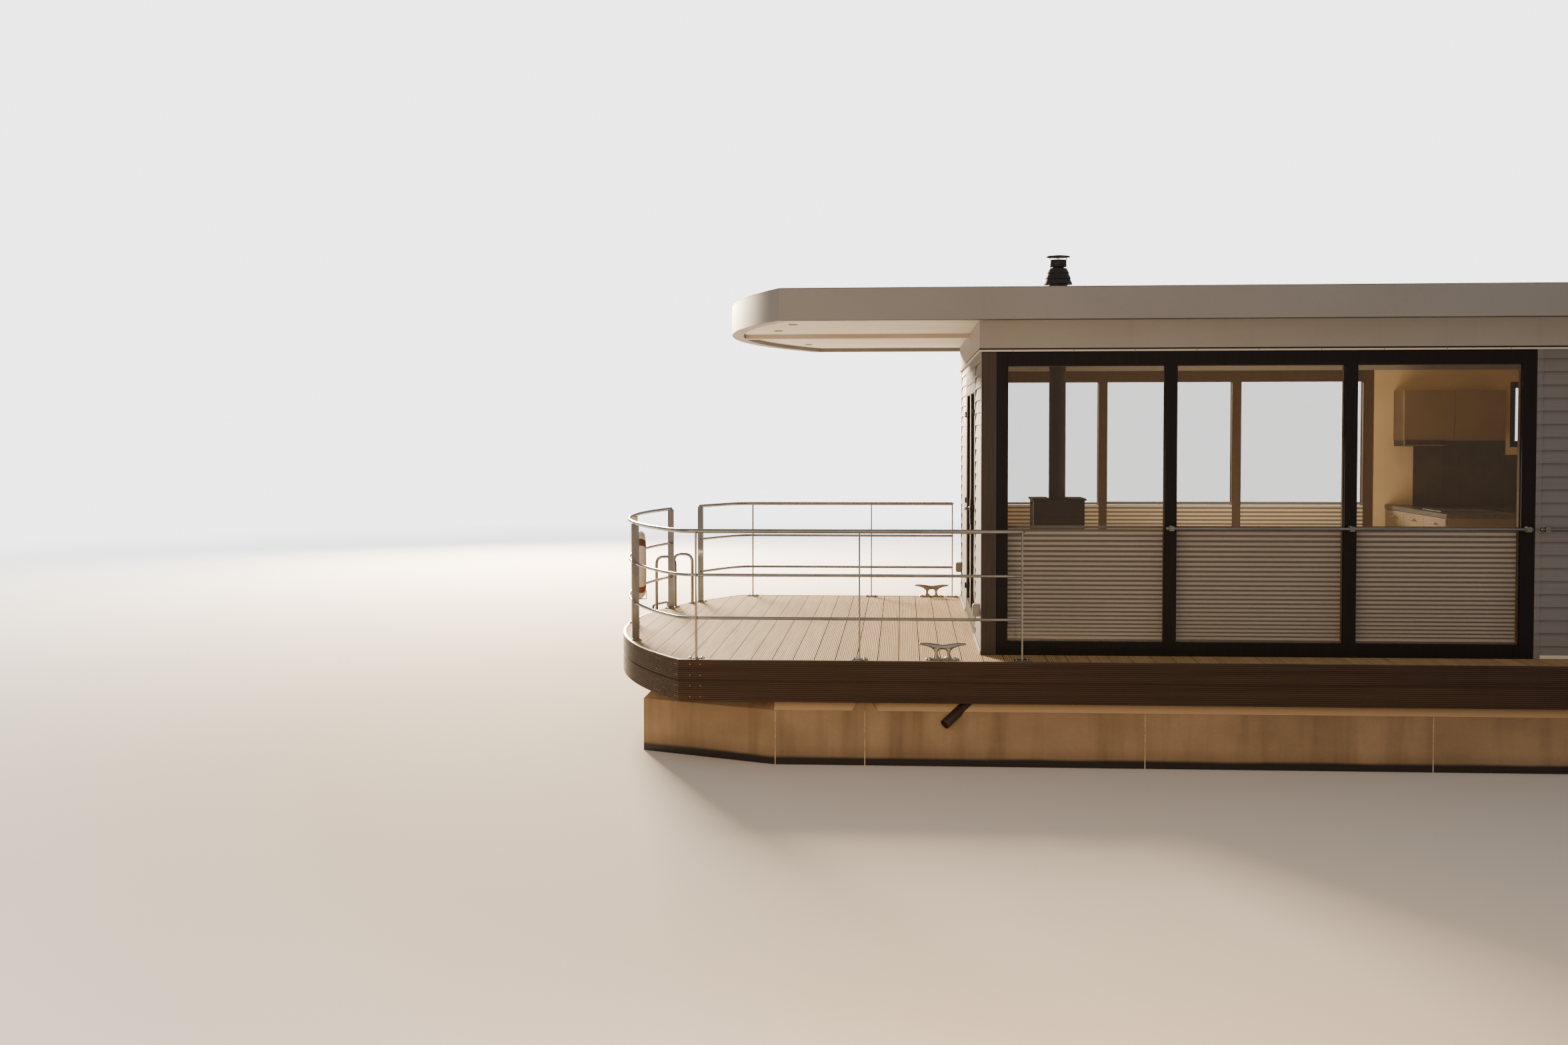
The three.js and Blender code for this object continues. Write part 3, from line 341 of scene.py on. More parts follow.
def groove_shade_in_deck(f, number):
    """How dark a groove is, by its depth: part way between the ribs and nearly black in the joints, which
    is painted shade in these hollows. The butts, whose place alternates from board to board, are black."""
    ribs, joints = (f.span(f.axis("Z"), DECK - deep, DECK - shallow, dark, 0.0)
                    for deep, shallow, dark in (GROOVE_SHADE["rib"], GROOVE_SHADE["joint"]))
    low = f.maths("MAXIMUM", ribs, joints)
    odd = f.maths("ABSOLUTE", f.maths("MODULO", number, 2.0))
    near, far = BOARD["butts"]
    for butt in (far, -near):
        place = f.maths("SUBTRACT", butt, f.maths("MULTIPLY", odd, far - near))
        away = f.maths("ABSOLUTE", f.maths("SUBTRACT", f.axis("Y"), place))
        low = f.maths("MAXIMUM", low, f.maths("LESS_THAN", away, BOARD["butt"]))
    return low


def groove_shade_in_fascia(f, number):
    """How dark a groove is, where each rib pitch, counted down from each board's first rib, has one. This
    is painted shade in the grooves.
    """
    below = f.maths("LESS_THAN", f.axis("Z"), FASCIA_SEAM)
    drop = FASCIA_FIRST["lower"] - FASCIA_FIRST["upper"]
    first = f.maths("MULTIPLY_ADD", below, drop, FASCIA_FIRST["upper"])
    share = f.maths("FRACT", f.maths("DIVIDE", f.maths("SUBTRACT", first, f.axis("Z")), RIB["pitch"]))
    groove = f.maths("LESS_THAN", share, 0.9 * RIB["groove"] / RIB["pitch"])
    return f.maths("MULTIPLY", groove, GROOVE_SHADE["fascia"])


def board_finish(name, along, pale, dark, grooves):
    """Composite boards. "along" is the axis that the streaks follow; "grooves" gives the painted shade
    in the grooves and joints.
    """
    f = Finish(name, pale, 0.7)
    stretch = {"X": (0.8, 30.0, 30.0), "Y": (30.0, 0.8, 30.0)}[along]
    streaks = f.noise(f.stretched(*stretch), 1.0, 5.0, 0.65)
    patches = f.noise(f.place, 2.2, 3.0)
    across, start = (f.axis("X"), BOARD["start"]) if along == "Y" else (f.axis("Z"), FASCIA_SEAM)
    number = f.maths("FLOOR", f.maths("DIVIDE", f.maths("SUBTRACT", across, start), BOARD["pitch"]))
    random = f.tree.nodes.new("ShaderNodeTexWhiteNoise")
    random.noise_dimensions = "1D"
    own = f.feed(random, {"W": number}).outputs["Value"]
    tone = f.blend(dark, pale, streaks, 0.3, 0.72)
    tone = f.blend(tone, tuple(0.65 * c for c in dark), own, 0.0, 1.0, 0.30)
    tone = f.blend(tone, tuple(0.8 * c for c in pale), patches, 0.35, 0.7, 0.25)
    # Painted shade: what lies in a groove or a joint is mixed towards a dark brown.
    f.colour(f.mix(grooves(f, number), tone, tuple(0.22 * c for c in dark)))
    f.rough(streaks, 0.85, 0.55)
    f.bump(streaks, 0.0006, 0.5)
    return f.material


deck_board = board_finish("deck_board", "Y", linear(224, 190, 142), linear(180, 147, 103), groove_shade_in_deck)
fascia_board = board_finish("fascia_board", "X", linear(78, 53, 29), linear(50, 34, 17), groove_shade_in_fascia)
give(fascia_board, "fascia_bow", "fascia_port", "fascia_starboard", "fascia_stern")
give(deck_board, "deck_platform")

# %% [markdown]
# The roof edge and the band under it are coated sheet, pale and slightly warm, with fine specks and dirt
# that has run down in thin streaks. The roof edge's underside is painted dark, as painted shade. The lap
# siding is the same idea in a cooler tone. The upper part of each lap is painted darker, as the shade under
# the lip of the lap above, so the pattern repeats with the lap's pitch. Indoors the same walls are lined in
# cream, so the finish asks how far in a point lies.

# %% White sheet and siding
LAP_PITCH = 0.100


def white_finish(name, colour, dirt, painted_shade_below=None):
    """Coated sheet. What lies below the given height, if one is given, is darkened: painted shade on the
    rim's underside.
    """
    f = Finish(name, colour, 0.42)
    runs = f.noise(f.stretched(9.0, 9.0, 0.5), 1.0, 4.0)
    specks = f.noise(f.place, 60.0, 3.0, 0.7)
    clouds = f.noise(f.place, 0.9, 4.0)
    tone = f.blend(colour, dirt, runs, 0.60, 0.85, 0.22)
    tone = f.blend(tone, dirt, clouds, 0.4, 0.75, 0.18)
    tone = f.blend(tone, dirt, specks, 0.62, 0.78, 0.35)
    if painted_shade_below is not None:
        # Painted shade: below that height the sheet turns dark, as the shade under the roof's rim.
        shade = f.span(f.axis("Z"), painted_shade_below, painted_shade_below + 0.002, 0.85, 0.0)
        tone = f.mix(shade, tone, linear(46, 42, 38))
    f.colour(tone)
    f.rough(clouds, 0.36, 0.55)
    f.bump(specks, 0.0005, 0.25)
    return f.material


def within_sides(f, deep, shallow):
    """1 for what lies further in from the cabin's long sides than "deep", 0 from "shallow" outwards."""
    across = f.maths("ABSOLUTE", f.maths("SUBTRACT", f.axis("Y"), (PORT + STARBOARD) / 2))
    half = (PORT - STARBOARD) / 2
    return f.span(across, half - deep, half - shallow, 1.0, 0.0)


def siding_finish():
    f = Finish("lap_siding", linear(122, 121, 122), 0.48)
    height = f.maths("SUBTRACT", f.axis("Z"), DECK + SEAM)
    lap = f.maths("FRACT", f.maths("DIVIDE", height, LAP_PITCH))
    streaks = f.noise(f.stretched(1.2, 1.2, 40.0), 1.0, 4.0)
    clouds = f.noise(f.place, 1.7, 4.0)
    tone = f.blend(linear(112, 112, 114), linear(93, 93, 95), clouds, 0.35, 0.7, 0.35)
    tone = f.blend(tone, linear(88, 86, 85), streaks, 0.5, 0.8, 0.25)
    # Painted shade: the upper part of each lap is darkened, as the shade under the lip of the lap above.
    tone = f.blend(tone, linear(70, 68, 67), lap, 0.72, 1.0, 0.5)
    indoors = within_sides(f, 0.060, 0.055)
    behind = f.span(f.axis("X"), REAR + 0.055, REAR + 0.060)
    ahead = f.span(f.axis("X"), FRONT - 0.060, FRONT - 0.055, 1.0, 0.0)
    lined = f.maths("MULTIPLY", f.maths("MULTIPLY", indoors, behind), ahead)
    cream = f.blend(linear(226, 208, 176), linear(208, 188, 154), clouds, 0.32, 0.7)
    f.colour(f.mix(lined, tone, cream))
    f.rough(streaks, 0.42, 0.6)
    f.bump(streaks, 0.0008, 0.3)
    return f.material


roof_white = white_finish("coated_sheet", linear(148, 147, 146), linear(104, 101, 97))
roof_edge_white = white_finish("roof_edge_sheet", linear(134, 134, 134), linear(96, 93, 90),
                               painted_shade_below=ROOF_LOW + 0.002)
give(roof_white, "roof_fascia", "head_band")
give(siding_finish(), "side_wall_port", "side_wall_starboard", "rear_wall", "front_wall")

# %% [markdown]
# Window frames are foil-covered profiles in a very dark brown-grey, with a faint fine grain and a wood
# foil on their inner faces. Rails are polished steel tube, with soft roughness changes where hands and
# water have been, and the bars on the cabin are of duller, brushed steel. The panes are lightly tinted
# glass. Their alpha lets the light in without caustics, and the shader keeps its gloss.

# %% Frames, steel and glass
def anthracite_finish(name="anthracite_foil", inner=False):
    """Dark foil. With "inner", what lies indoors of the glazed sides has a brown wood foil instead."""
    f = Finish(name, linear(24, 19, 16), 0.38)
    f.feed(f.shader, {"Specular IOR Level": 0.2})
    grain = f.noise(f.stretched(80.0, 80.0, 5.0), 1.0, 4.0)
    tone = f.blend(linear(20, 16, 13), linear(29, 23, 19), grain, 0.3, 0.75)
    if inner:
        behind_end = f.span(f.axis("X"), FRAME_FRONT - 0.004, FRAME_FRONT - 0.002, 1.0, 0.0)
        indoors = f.maths("MULTIPLY", within_sides(f, 0.066, 0.062), behind_end)
        tone = f.mix(indoors, tone, f.blend(linear(86, 68, 48), linear(70, 55, 38), grain, 0.3, 0.75))
    f.colour(tone)
    f.rough(grain, 0.32, 0.5)
    f.bump(grain, 0.0003, 0.2)
    return f.material


def steel_finish():
    f = Finish("polished_steel", linear(205, 204, 201), 0.22, 1.0)
    brush = f.noise(f.stretched(2.0, 2.0, 2.0), 30.0, 3.0)
    smears = f.noise(f.place, 5.0, 3.0)
    f.colour(f.blend(linear(170, 165, 158), linear(142, 137, 130), smears, 0.3, 0.7))
    f.rough(smears, 0.16, 0.34)
    f.bump(brush, 0.0002, 0.2)
    return f.material


def brushed_finish():
    """Duller steel with fine lines along its length."""
    f = Finish("brushed_steel", linear(104, 98, 90), 0.36, 1.0)
    lines = f.noise(f.stretched(2.0, 60.0, 60.0), 1.0, 4.0)
    f.colour(f.blend(linear(158, 153, 146), linear(124, 118, 110), lines, 0.3, 0.7))
    f.rough(lines, 0.28, 0.46)
    f.bump(lines, 0.0002, 0.2)
    return f.material


def glass_finish():
    f = Finish("window_glass", linear(74, 64, 50), 0.03)
    f.feed(f.shader, {"Alpha": 0.24, "IOR": 1.52, "Specular IOR Level": 1.0})
    smears = f.noise(f.stretched(2.0, 2.0, 1.0), 2.0, 4.0)
    f.rough(smears, 0.01, 0.06)
    return f.material


PANES = [name for name in nodes if "pane" in name.split("_")]
OF_STEEL = ("railing", "window_guard", "walkway", "cleat", "swim")
steel = steel_finish()
brushed = brushed_finish()
give(anthracite_finish("side_frame_foil", inner=True), "window_frame_port", "window_frame_starboard")
give(anthracite_finish(), "terrace_door_frame", "terrace_door_port", "terrace_door_starboard",
     "rear_door_frame", "rear_door", "bedroom_window_port_frame", "bedroom_window_starboard_frame",
     "galley_window_frame")
give(steel, *[name for name in nodes if name.startswith(OF_STEEL)])
give(glass_finish(), *PANES)

# %% [markdown]
# The inside is seen through the glass: cream walls and ceiling, an oak floor, tan cabinet fronts and a
# dark worktop. Such quiet surfaces, and small things outside, need less detail, but none is a flat colour.
# One kind of finish serves them all, whose colour wanders between two screen tones.

# %% Inside, stove and pipe
def mottled_finish(name, light, dark, roughness, scale, bump=0.0005, stretch=(1.0, 1.0, 1.0),
                   metallic=0.0):
    """A finish whose colour wanders between two screen colours."""
    light, dark = linear(*light), linear(*dark)
    f = Finish(name, light, roughness, metallic)
    tone = f.noise(f.stretched(*stretch), scale, 5.0)
    f.colour(f.blend(light, dark, tone, 0.32, 0.7))
    f.rough(tone, max(roughness - 0.08, 0.02), min(roughness + 0.1, 1.0))
    f.bump(tone, bump, 0.4)
    return f.material


lining = mottled_finish("cream_lining", (236, 216, 180), (218, 196, 158), 0.65, 2.0)
panelling = mottled_finish("tan_panelling", (148, 124, 92), (126, 104, 74), 0.6, 1.6)
oak = mottled_finish("oak_floor", (168, 132, 92), (122, 90, 58), 0.5, 1.0, 0.001, (1.5, 22.0, 1.0))
fronts = mottled_finish("cabinet_front", (124, 106, 82), (106, 90, 68), 0.35, 1.2)
stone = mottled_finish("dark_worktop", (44, 41, 38), (74, 70, 66), 0.3, 40.0)
black = mottled_finish("black_enamel", (30, 28, 27), (52, 42, 36), 0.45, 9.0)
cast_iron = mottled_finish("cast_iron", (15, 13, 12), (26, 22, 19), 0.55, 9.0)
plastic = mottled_finish("brown_pipe", (66, 50, 38), (50, 36, 26), 0.45, 6.0)
shell = mottled_finish("buoy_shell", (232, 226, 214), (206, 196, 180), 0.5, 5.0)
band = mottled_finish("buoy_band", (126, 76, 50), (98, 58, 38), 0.6, 8.0)
membrane = mottled_finish("roof_membrane", (150, 150, 148), (122, 121, 118), 0.8, 3.0, 0.002)
# Painted shade: the wall tiles are dark grey for the shade that falls on the galley wall.
tile_painted_shade = mottled_finish("wall_tile", (74, 68, 60), (58, 53, 47), 0.35, 6.0)
rubber = mottled_finish("black_rubber", (24, 23, 22), (40, 38, 36), 0.7, 20.0)
grey = mottled_finish("grey_plastic", (150, 148, 144), (134, 131, 126), 0.45, 10.0)
give(lining, "cabin_ceiling")
give(panelling, "bulkhead")
give(oak, "cabin_floor")
give(fronts, "galley_base", "galley_wall_cabinets")
give(stone, "galley_worktop")
give(cast_iron, "stove")
give(black, "flue")
give(plastic, "drain_pipe")
give(shell, "lifebuoy")


def roof_panel_finish():
    """White sheet below and grey membrane on top: height over the panel's middle decides."""
    f = Finish("roof_panel", linear(214, 210, 204), 0.55)
    low, high = (corner.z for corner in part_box("roof_panel"))
    top = f.span(f.axis("Z"), high - 0.012, high - 0.008)
    patches = f.noise(f.place, 1.2, 6.0)
    under = f.blend(linear(216, 210, 200), linear(198, 190, 178), patches, 0.35, 0.7)
    over = f.blend(linear(146, 145, 142), linear(126, 124, 120), patches, 0.35, 0.7)
    f.colour(f.mix(top, under, over))
    f.rough(top, 0.45, 0.85)
    f.bump(f.noise(f.place, 25.0, 4.0), 0.002, 0.25)
    return f.material


give(roof_panel_finish(), "roof_panel")

# %% [markdown]
# New pieces are surfaces from arrays. Three shapes cover nearly all of them. A loft joins rows of points, a
# tube carries a circle along a path, and a moulding carries a cut profile along the outline of the deck or
# the roof. Each returns points and faces, so that several can be gathered into one mesh.

# %% Helpers for shapes
def quads(rows, columns, close_rows=False, close_columns=False, start=0):
    """Faces of a grid of points, row by row. A closed direction joins its last row or column to the first."""
    r = np.arange(rows if close_rows else rows - 1)[:, None]
    c = np.arange(columns if close_columns else columns - 1)[None, :]
    r2, c2 = (r + 1) % rows, (c + 1) % columns
    faces = np.stack([r * columns + c, r * columns + c2, r2 * columns + c2, r2 * columns + c], axis=-1)
    return (faces.reshape(-1, 4) + start).tolist()


def outward(points, faces):
    """Turns a closed shape's faces outwards, so that its volume, the sum of p . (q x r) / 6, is positive."""
    volume = 0.0
    for size in {len(f) for f in faces}:
        p = points[np.array([f for f in faces if len(f) == size])]
        volume += np.einsum("fi,fki->", p[:, 0], np.cross(p[:, 1:-1], p[:, 2:]))
    return points, faces if volume > 0 else [f[::-1] for f in faces]


def loft(sections):
    """A closed solid from an array (rows, points, 3): the rows' outlines are joined, the ends are filled."""
    rows, columns, _ = sections.shape
    faces = quads(rows, columns, close_columns=True)
    faces.append(list(range(columns))[::-1])
    faces.append(list(range((rows - 1) * columns, rows * columns)))
    return outward(sections.reshape(-1, 3), faces)


def directions(path, closed=False):
    """Unit tangents of a path, from the difference of each point's neighbours."""
    path = np.asarray(path, float)
    if closed:
        ahead, behind = np.roll(path, -1, 0), np.roll(path, 1, 0)
    else:
        ahead = np.concatenate([path[1:], path[-1:]])
        behind = np.concatenate([path[:1], path[:-1]])
    step = ahead - behind
    return step / np.linalg.norm(step, axis=1, keepdims=True)


def tube(path, radius, normal=(0, 0, 1), sides=14, closed=False):
    """A circle carried along a plane path: p + radius (cos a n + sin a (n x t)), n normal to the plane."""
    path = np.asarray(path, float)
    n = np.asarray(normal, float) / np.linalg.norm(normal)
    side = np.cross(n, directions(path, closed))
    side /= np.linalg.norm(side, axis=1, keepdims=True)
    angle = np.linspace(0, 2 * np.pi, sides, endpoint=False)
    radius = np.broadcast_to(np.asarray(radius, float), (len(path),))[:, None, None]
    ring = np.cos(angle)[None, :, None] * n + np.sin(angle)[None, :, None] * side[:, None, :]
    points = path[:, None, :] + radius * ring
    if closed:
        return outward(points.reshape(-1, 3), quads(len(path), sides, True, True))
    return loft(points)


def turned(profile, sides, centre=(0, 0, 0)):
    """A profile of (radius, height) turned about a vertical axis; it starts and ends on the axis."""
    profile = np.asarray(profile, float)
    angle = np.linspace(0, 2 * np.pi, sides, endpoint=False)
    ring = np.stack([np.cos(angle), np.sin(angle), np.zeros(sides)], axis=1)
    radius, height = profile[1:-1].T[:, :, None, None]
    points = radius * ring + height * np.array([0, 0, 1])
    count = len(profile) - 2
    faces = [f[::-1] for f in quads(count, sides, close_columns=True)]
    ends = np.array([[0, 0, profile[0, 1]], [0, 0, profile[-1, 1]]])
    k = np.arange(sides)
    nxt = (k + 1) % sides
    low, high = count * sides, count * sides + 1
    faces += np.stack([np.full(sides, low), nxt, k], axis=1).tolist()
    last = (count - 1) * sides
    faces += np.stack([np.full(sides, high), last + k, last + nxt], axis=1).tolist()
    return outward(np.concatenate([points.reshape(-1, 3), ends]) + np.asarray(centre, float), faces)


def brick(low, high):
    """A plain block between two corners."""
    (x0, y0, z0), (x1, y1, z1) = np.sort([low, high], axis=0)
    corners = np.array([[x, y, z] for z in (z0, z1) for x, y in ((x0, y0), (x1, y0), (x1, y1), (x0, y1))])
    return corners, [[3, 2, 1, 0], [4, 5, 6, 7], [0, 1, 5, 4], [1, 2, 6, 5], [2, 3, 7, 6], [3, 0, 4, 7]]


def gather(shapes):
    """Several (points, faces) as one."""
    points, faces, start = [], [], 0
    for p, f in shapes:
        points.append(np.asarray(p, float))
        faces.extend([[i + start for i in face] for face in f])
        start += len(p)
    return np.concatenate(points), faces


def moved(shape, place, size=1.0):
    """A shape scaled about the origin and moved to its place."""
    points, faces = shape
    return np.asarray(points) * size + np.asarray(place, float), faces


def spun(shape, angle, place):
    """A shape turned about the vertical axis through the origin and then moved to its place."""
    points, faces = shape
    c, s = math.cos(angle), math.sin(angle)
    turn = np.array([[c, s, 0], [-s, c, 0], [0, 0, 1]])
    return np.asarray(points) @ turn + np.asarray(place, float), faces


def piece(name, shape, material, body="houseboat", smooth=None, bevel=None, replaces=()):
    """Puts a shape into a mesh object that rides on a body. "smooth" is the sharpest angle shaded round."""
    points, faces = shape
    mesh = bpy.data.meshes.new(name)
    mesh.from_pydata(np.asarray(points, float).tolist(), [], faces)
    mesh.validate()
    mesh.materials.append(material)
    if smooth is not None:
        mesh.polygons.foreach_set("use_smooth", np.ones(len(mesh.polygons), bool))
        mesh.set_sharp_from_angle(angle=math.radians(smooth))
    mesh.update()
    obj = bpy.data.objects.new(name, mesh)
    bpy.context.scene.collection.objects.link(obj)
    if bevel:
        modifier = obj.modifiers.new("edges", "BEVEL")
        modifier.width = bevel
        modifier.segments = 2
        modifier.limit_method = "ANGLE"
        modifier.harden_normals = False
    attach(obj, body)
    if replaces:
        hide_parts(*replaces)
    return obj


# %% [markdown]
# The deck boards lie across the boat. Seen from the side, the deck is a comb: a wide joint at each board's
# edge, then narrow ribs. So the surface is a height along x, carried from edge to edge, and the edge itself
# follows the outline. One loft of four-cornered sections makes the whole deck with its rounded bow.

# %% Deck boards
JOINT = {"width": 0.0075, "depth": 0.018}


def board_heights(start, end, pitch, joint, rib):
    """Stations and depths of boards side by side: joint walls at multiples of the pitch, ribs between."""
    first = BOARD["start"] + math.floor((start - BOARD["start"]) / pitch) * pitch
    boards = np.arange(first, end, pitch)
    ribs = int((pitch - joint["width"]) / rib["pitch"])
    margin = (pitch - joint["width"] - ribs * rib["pitch"]) / 2 + joint["width"]
    grooves = margin + rib["pitch"] * np.arange(ribs) + (rib["pitch"] - rib["groove"]) / 2
    offsets = [(0.0, joint["depth"]), (joint["width"], joint["depth"]), (joint["width"] + 1e-5, 0.0)]
    for g in grooves:
        offsets += [(g - 1e-5, 0.0), (g, rib["depth"]), (g + rib["groove"] - 1e-5, rib["depth"]),
                    (g + rib["groove"], 0.0)]
    offsets.append((pitch - 1e-5, 0.0))
    offsets = np.array([o for o in offsets if o[0] < pitch])
    x = (boards[:, None] + offsets[None, :, 0]).ravel()
    depth = np.broadcast_to(offsets[None, :, 1], (len(boards), len(offsets))).ravel()
    keep = (x > start) & (x < end)
    return x[keep], depth[keep]


def deck_boards():
    inset = FASCIA["thick"] + SEAM
    tip = DECK_FORM["tip"] - inset - 0.0005
    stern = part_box("deck_platform")[0].x
    x, depth = board_heights(stern, tip, BOARD["pitch"], JOINT, RIB)
    x = np.concatenate([[stern], x, [tip]])
    depth = np.concatenate([[0.0], depth, [0.0]])
    radius, centre, _ = arc_of(DECK_FORM)
    half = np.full(len(x), DECK_FORM["half"] - inset)
    corner = corner_of(DECK_FORM, inset)
    beyond = x > corner
    half[beyond] = np.sqrt(np.maximum((radius - inset) ** 2 - (x[beyond] - centre) ** 2, 1e-8))
    top = DECK - depth
    low = np.full(len(x), DECK_UNDER)
    sections = np.stack([np.stack([x, -half, top], 1), np.stack([x, half, top], 1),
                         np.stack([x, half, low], 1), np.stack([x, -half, low], 1)], axis=1)
    return loft(sections)


boards = piece("deck_boards", deck_boards(), deck_board, replaces=["deck_platform"])
print("deck boards", len(boards.data.polygons), "faces")

# %% [markdown]
# The same boards stand on edge as the fascia, two of them above each other, ribs outwards. A profile of
# (inset, height) is carried round the deck's outline. At the corners between side and bow the sections are
# mitred, which a moulding does by sliding each profile point along the outline's offset.

# %% Fascia boards
FASCIA_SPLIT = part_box("fascia_port")[1].x


def fascia_profile():
    """(inset, height) from the top edge down the ribbed face, then back up the plain inner face."""
    top, middle, low = DECK, FASCIA_SEAM, DECK - FASCIA["drop"]
    slope, groove, depth = FASCIA["slope"], RIB["groove"], RIB["depth"]
    half = FASCIA["joint"] / 2
    profile = [(FASCIA["rim"], top), (0.0, top - FASCIA["rim"])]
    limits = ((FASCIA_FIRST["upper"], middle + half), (FASCIA_FIRST["lower"], low + FASCIA["plain"]))
    for first, last in limits:
        for z in np.arange(first, last + FASCIA["last_groove"], -RIB["pitch"]):
            profile += [(0.0, z), (depth, z - slope), (depth, z - groove + slope), (0.0, z - groove)]
        if first > middle:
            profile += [(0.0, middle + half + slope), (FASCIA["deep"], middle + half),
                        (FASCIA["deep"], middle - half), (0.0, middle - half - slope)]
    profile += [(0.0, low + FASCIA["foot"]), (FASCIA["foot"], low), (FASCIA["thick"], low),
                (FASCIA["thick"], top)]
    return np.array(profile)


def moulding(profile, plan):
    """A profile of (inset, height) on a plan: plan(inset) gives the same stations moved in by that inset."""
    columns = [np.column_stack([plan(inset), np.full(len(plan(inset)), z)]) for inset, z in profile]
    return loft(np.stack(columns, axis=1))


def bow_plan(inset):
    edge, x = DECK_FORM["half"] - inset, FASCIA_SPLIT + SEAM
    return np.concatenate([[[x, -edge]], bow_curve(DECK_FORM, inset), [[x, edge]]])


def side_plan(side):
    def plan(inset):
        y = side * (DECK_FORM["half"] - inset)
        return np.array([[DECK_FORM["stern"] + FASCIA["thick"] + SEAM, y], [FASCIA_SPLIT, y]])
    return plan


def stern_plan(inset):
    x = DECK_FORM["stern"] + inset
    return np.array([[x, -DECK_FORM["half"]], [x, DECK_FORM["half"]]])


profile = fascia_profile()
PLANS = {"bow": bow_plan, "port": side_plan(1), "starboard": side_plan(-1), "stern": stern_plan}
for side, plan in PLANS.items():
    piece(f"{side}_fascia", moulding(profile, plan), fascia_board,
          smooth=30 if side == "bow" else None, replaces=[f"fascia_{side}"])
print("fascia profile", len(profile), "points")

# %% [markdown]
# The railings are welded from round tube and flat bar. A rail is a circle carried along its line in plan:
# straight along the side, one smooth bend, then parallel to the bow's arc. The posts are flat bars on foot
# plates with four bolts each. A holder for the lifebuoy hangs on the bow's rails, at the buoy's own angle
# round the arc.

# %% Rails and posts
RAIL = {"side": DECK_FORM["half"] - 0.085, "bow": 0.060, "bend_from": 5.715, "bend": 0.190, "stub": 0.006}
LEVELS = ((0.985, 0.0165), (0.646, 0.012), (0.313, 0.012))
POST = {"width": 0.062, "thick": 0.012}
PLATE = {"along": 0.090, "across": 0.120, "thick": 0.008, "bolt": (0.016, 0.018)}
DOME = np.array([(0, -0.4), (0.7, -0.36), (1.0, 0), (0.7, 0.36), (0, 0.4)])
BOLT = [(0, 0), (0.010, 0), (0.010, 0.0015), (0.0075, 0.0022), (0.0065, 0.0055), (0, 0.0072)]
STERN_RAIL = {"x": DECK_FORM["stern"] + 0.085, "bend": 0.160, "pull": 0.25, "end": 1.000}


def hermite(p0, p1, t0, t1, steps=14):
    """A cubic between two points with given end slopes, without its ends."""
    p0, p1, t0, t1 = (np.array(v, float) for v in (p0, p1, t0, t1))
    u = np.linspace(0, 1, steps)[1:-1, None]
    return ((2 * u**3 - 3 * u**2 + 1) * p0 + (u**3 - 2 * u**2 + u) * t0
            + (3 * u**2 - 2 * u**3) * p1 + (u**3 - u**2) * t1)


def bow_rail(sign, start, end):
    """The rail's line from x = start along one side and round the bow to y = end (mirrored by sign)."""
    side, bend_from = RAIL["side"], RAIL["bend_from"]
    radius, centre, _ = arc_of(DECK_FORM)
    r = radius - RAIL["bow"]
    y = np.linspace(side - RAIL["bend"], end, max(8, int(abs(side - end) / 0.07)))
    arc = np.stack([centre + np.sqrt(r * r - y * y), y], axis=1)
    slope = np.array([arc[0, 1], -(arc[0, 0] - centre)]) / r
    reach = np.hypot(arc[0, 0] - bend_from, arc[0, 1] - side)
    bend = hermite((bend_from, side), arc[0], (reach, 0), slope * reach)
    straight = np.stack([np.linspace(start, bend_from, 8), np.full(8, side)], axis=1)
    line = np.concatenate([straight, bend, arc])
    return line * np.array([1, sign])


def rails(line):
    """Three rails on one line in plan, each a tube with rounded ends."""
    shapes = []
    for height, radius in LEVELS:
        path = np.column_stack([line, np.full(len(line), DECK + height)])
        shapes.append(tube(path, radius, sides=16))
        for end in (path[0], path[-1]):
            shapes.append(turned(DOME * radius, 16, end))
    return gather(shapes)


bolt = turned(BOLT, 12)


def post_at(x, y, turn):
    """A flat bar on its foot plate, with a bolt near each corner; turn is the bar's angle in plan."""
    half, thick = POST["width"] / 2, POST["thick"] / 2
    a, b = PLATE["along"] / 2, PLATE["across"] / 2
    parts = [brick((-half, -thick, PLATE["thick"]), (half, thick, LEVELS[0][0] - 0.004)),
             brick((-a, -b, 0), (a, b, PLATE["thick"]))]
    for u, v in ((-1, -1), (1, -1), (-1, 1), (1, 1)):
        place = (u * (a - PLATE["bolt"][0]), v * (b - PLATE["bolt"][1]), PLATE["thick"])
        parts.append(moved(bolt, place))
    return spun(gather(parts), turn, (x, y, DECK + SEAM))


def arc_post(y):
    r = arc_of(DECK_FORM)[0] - RAIL["bow"]
    return float(on_arc(DECK_FORM, RAIL["bow"], y)), y, math.asin(y / r)


BOW_GAP = (-1.190, -1.790)
SIDE_POSTS = {"port": (5.700, 4.440, 3.203), "starboard": (5.700, 4.440, 3.590)}
port_posts = [(x, RAIL["side"], math.pi / 2) for x in SIDE_POSTS["port"]]
port_posts += [arc_post(y) for y in (1.350, 0.100, BOW_GAP[0] + 0.010)]
starboard_posts = [(x, -RAIL["side"], math.pi / 2) for x in SIDE_POSTS["starboard"]]
starboard_posts.append(arc_post(BOW_GAP[1] - 0.010))

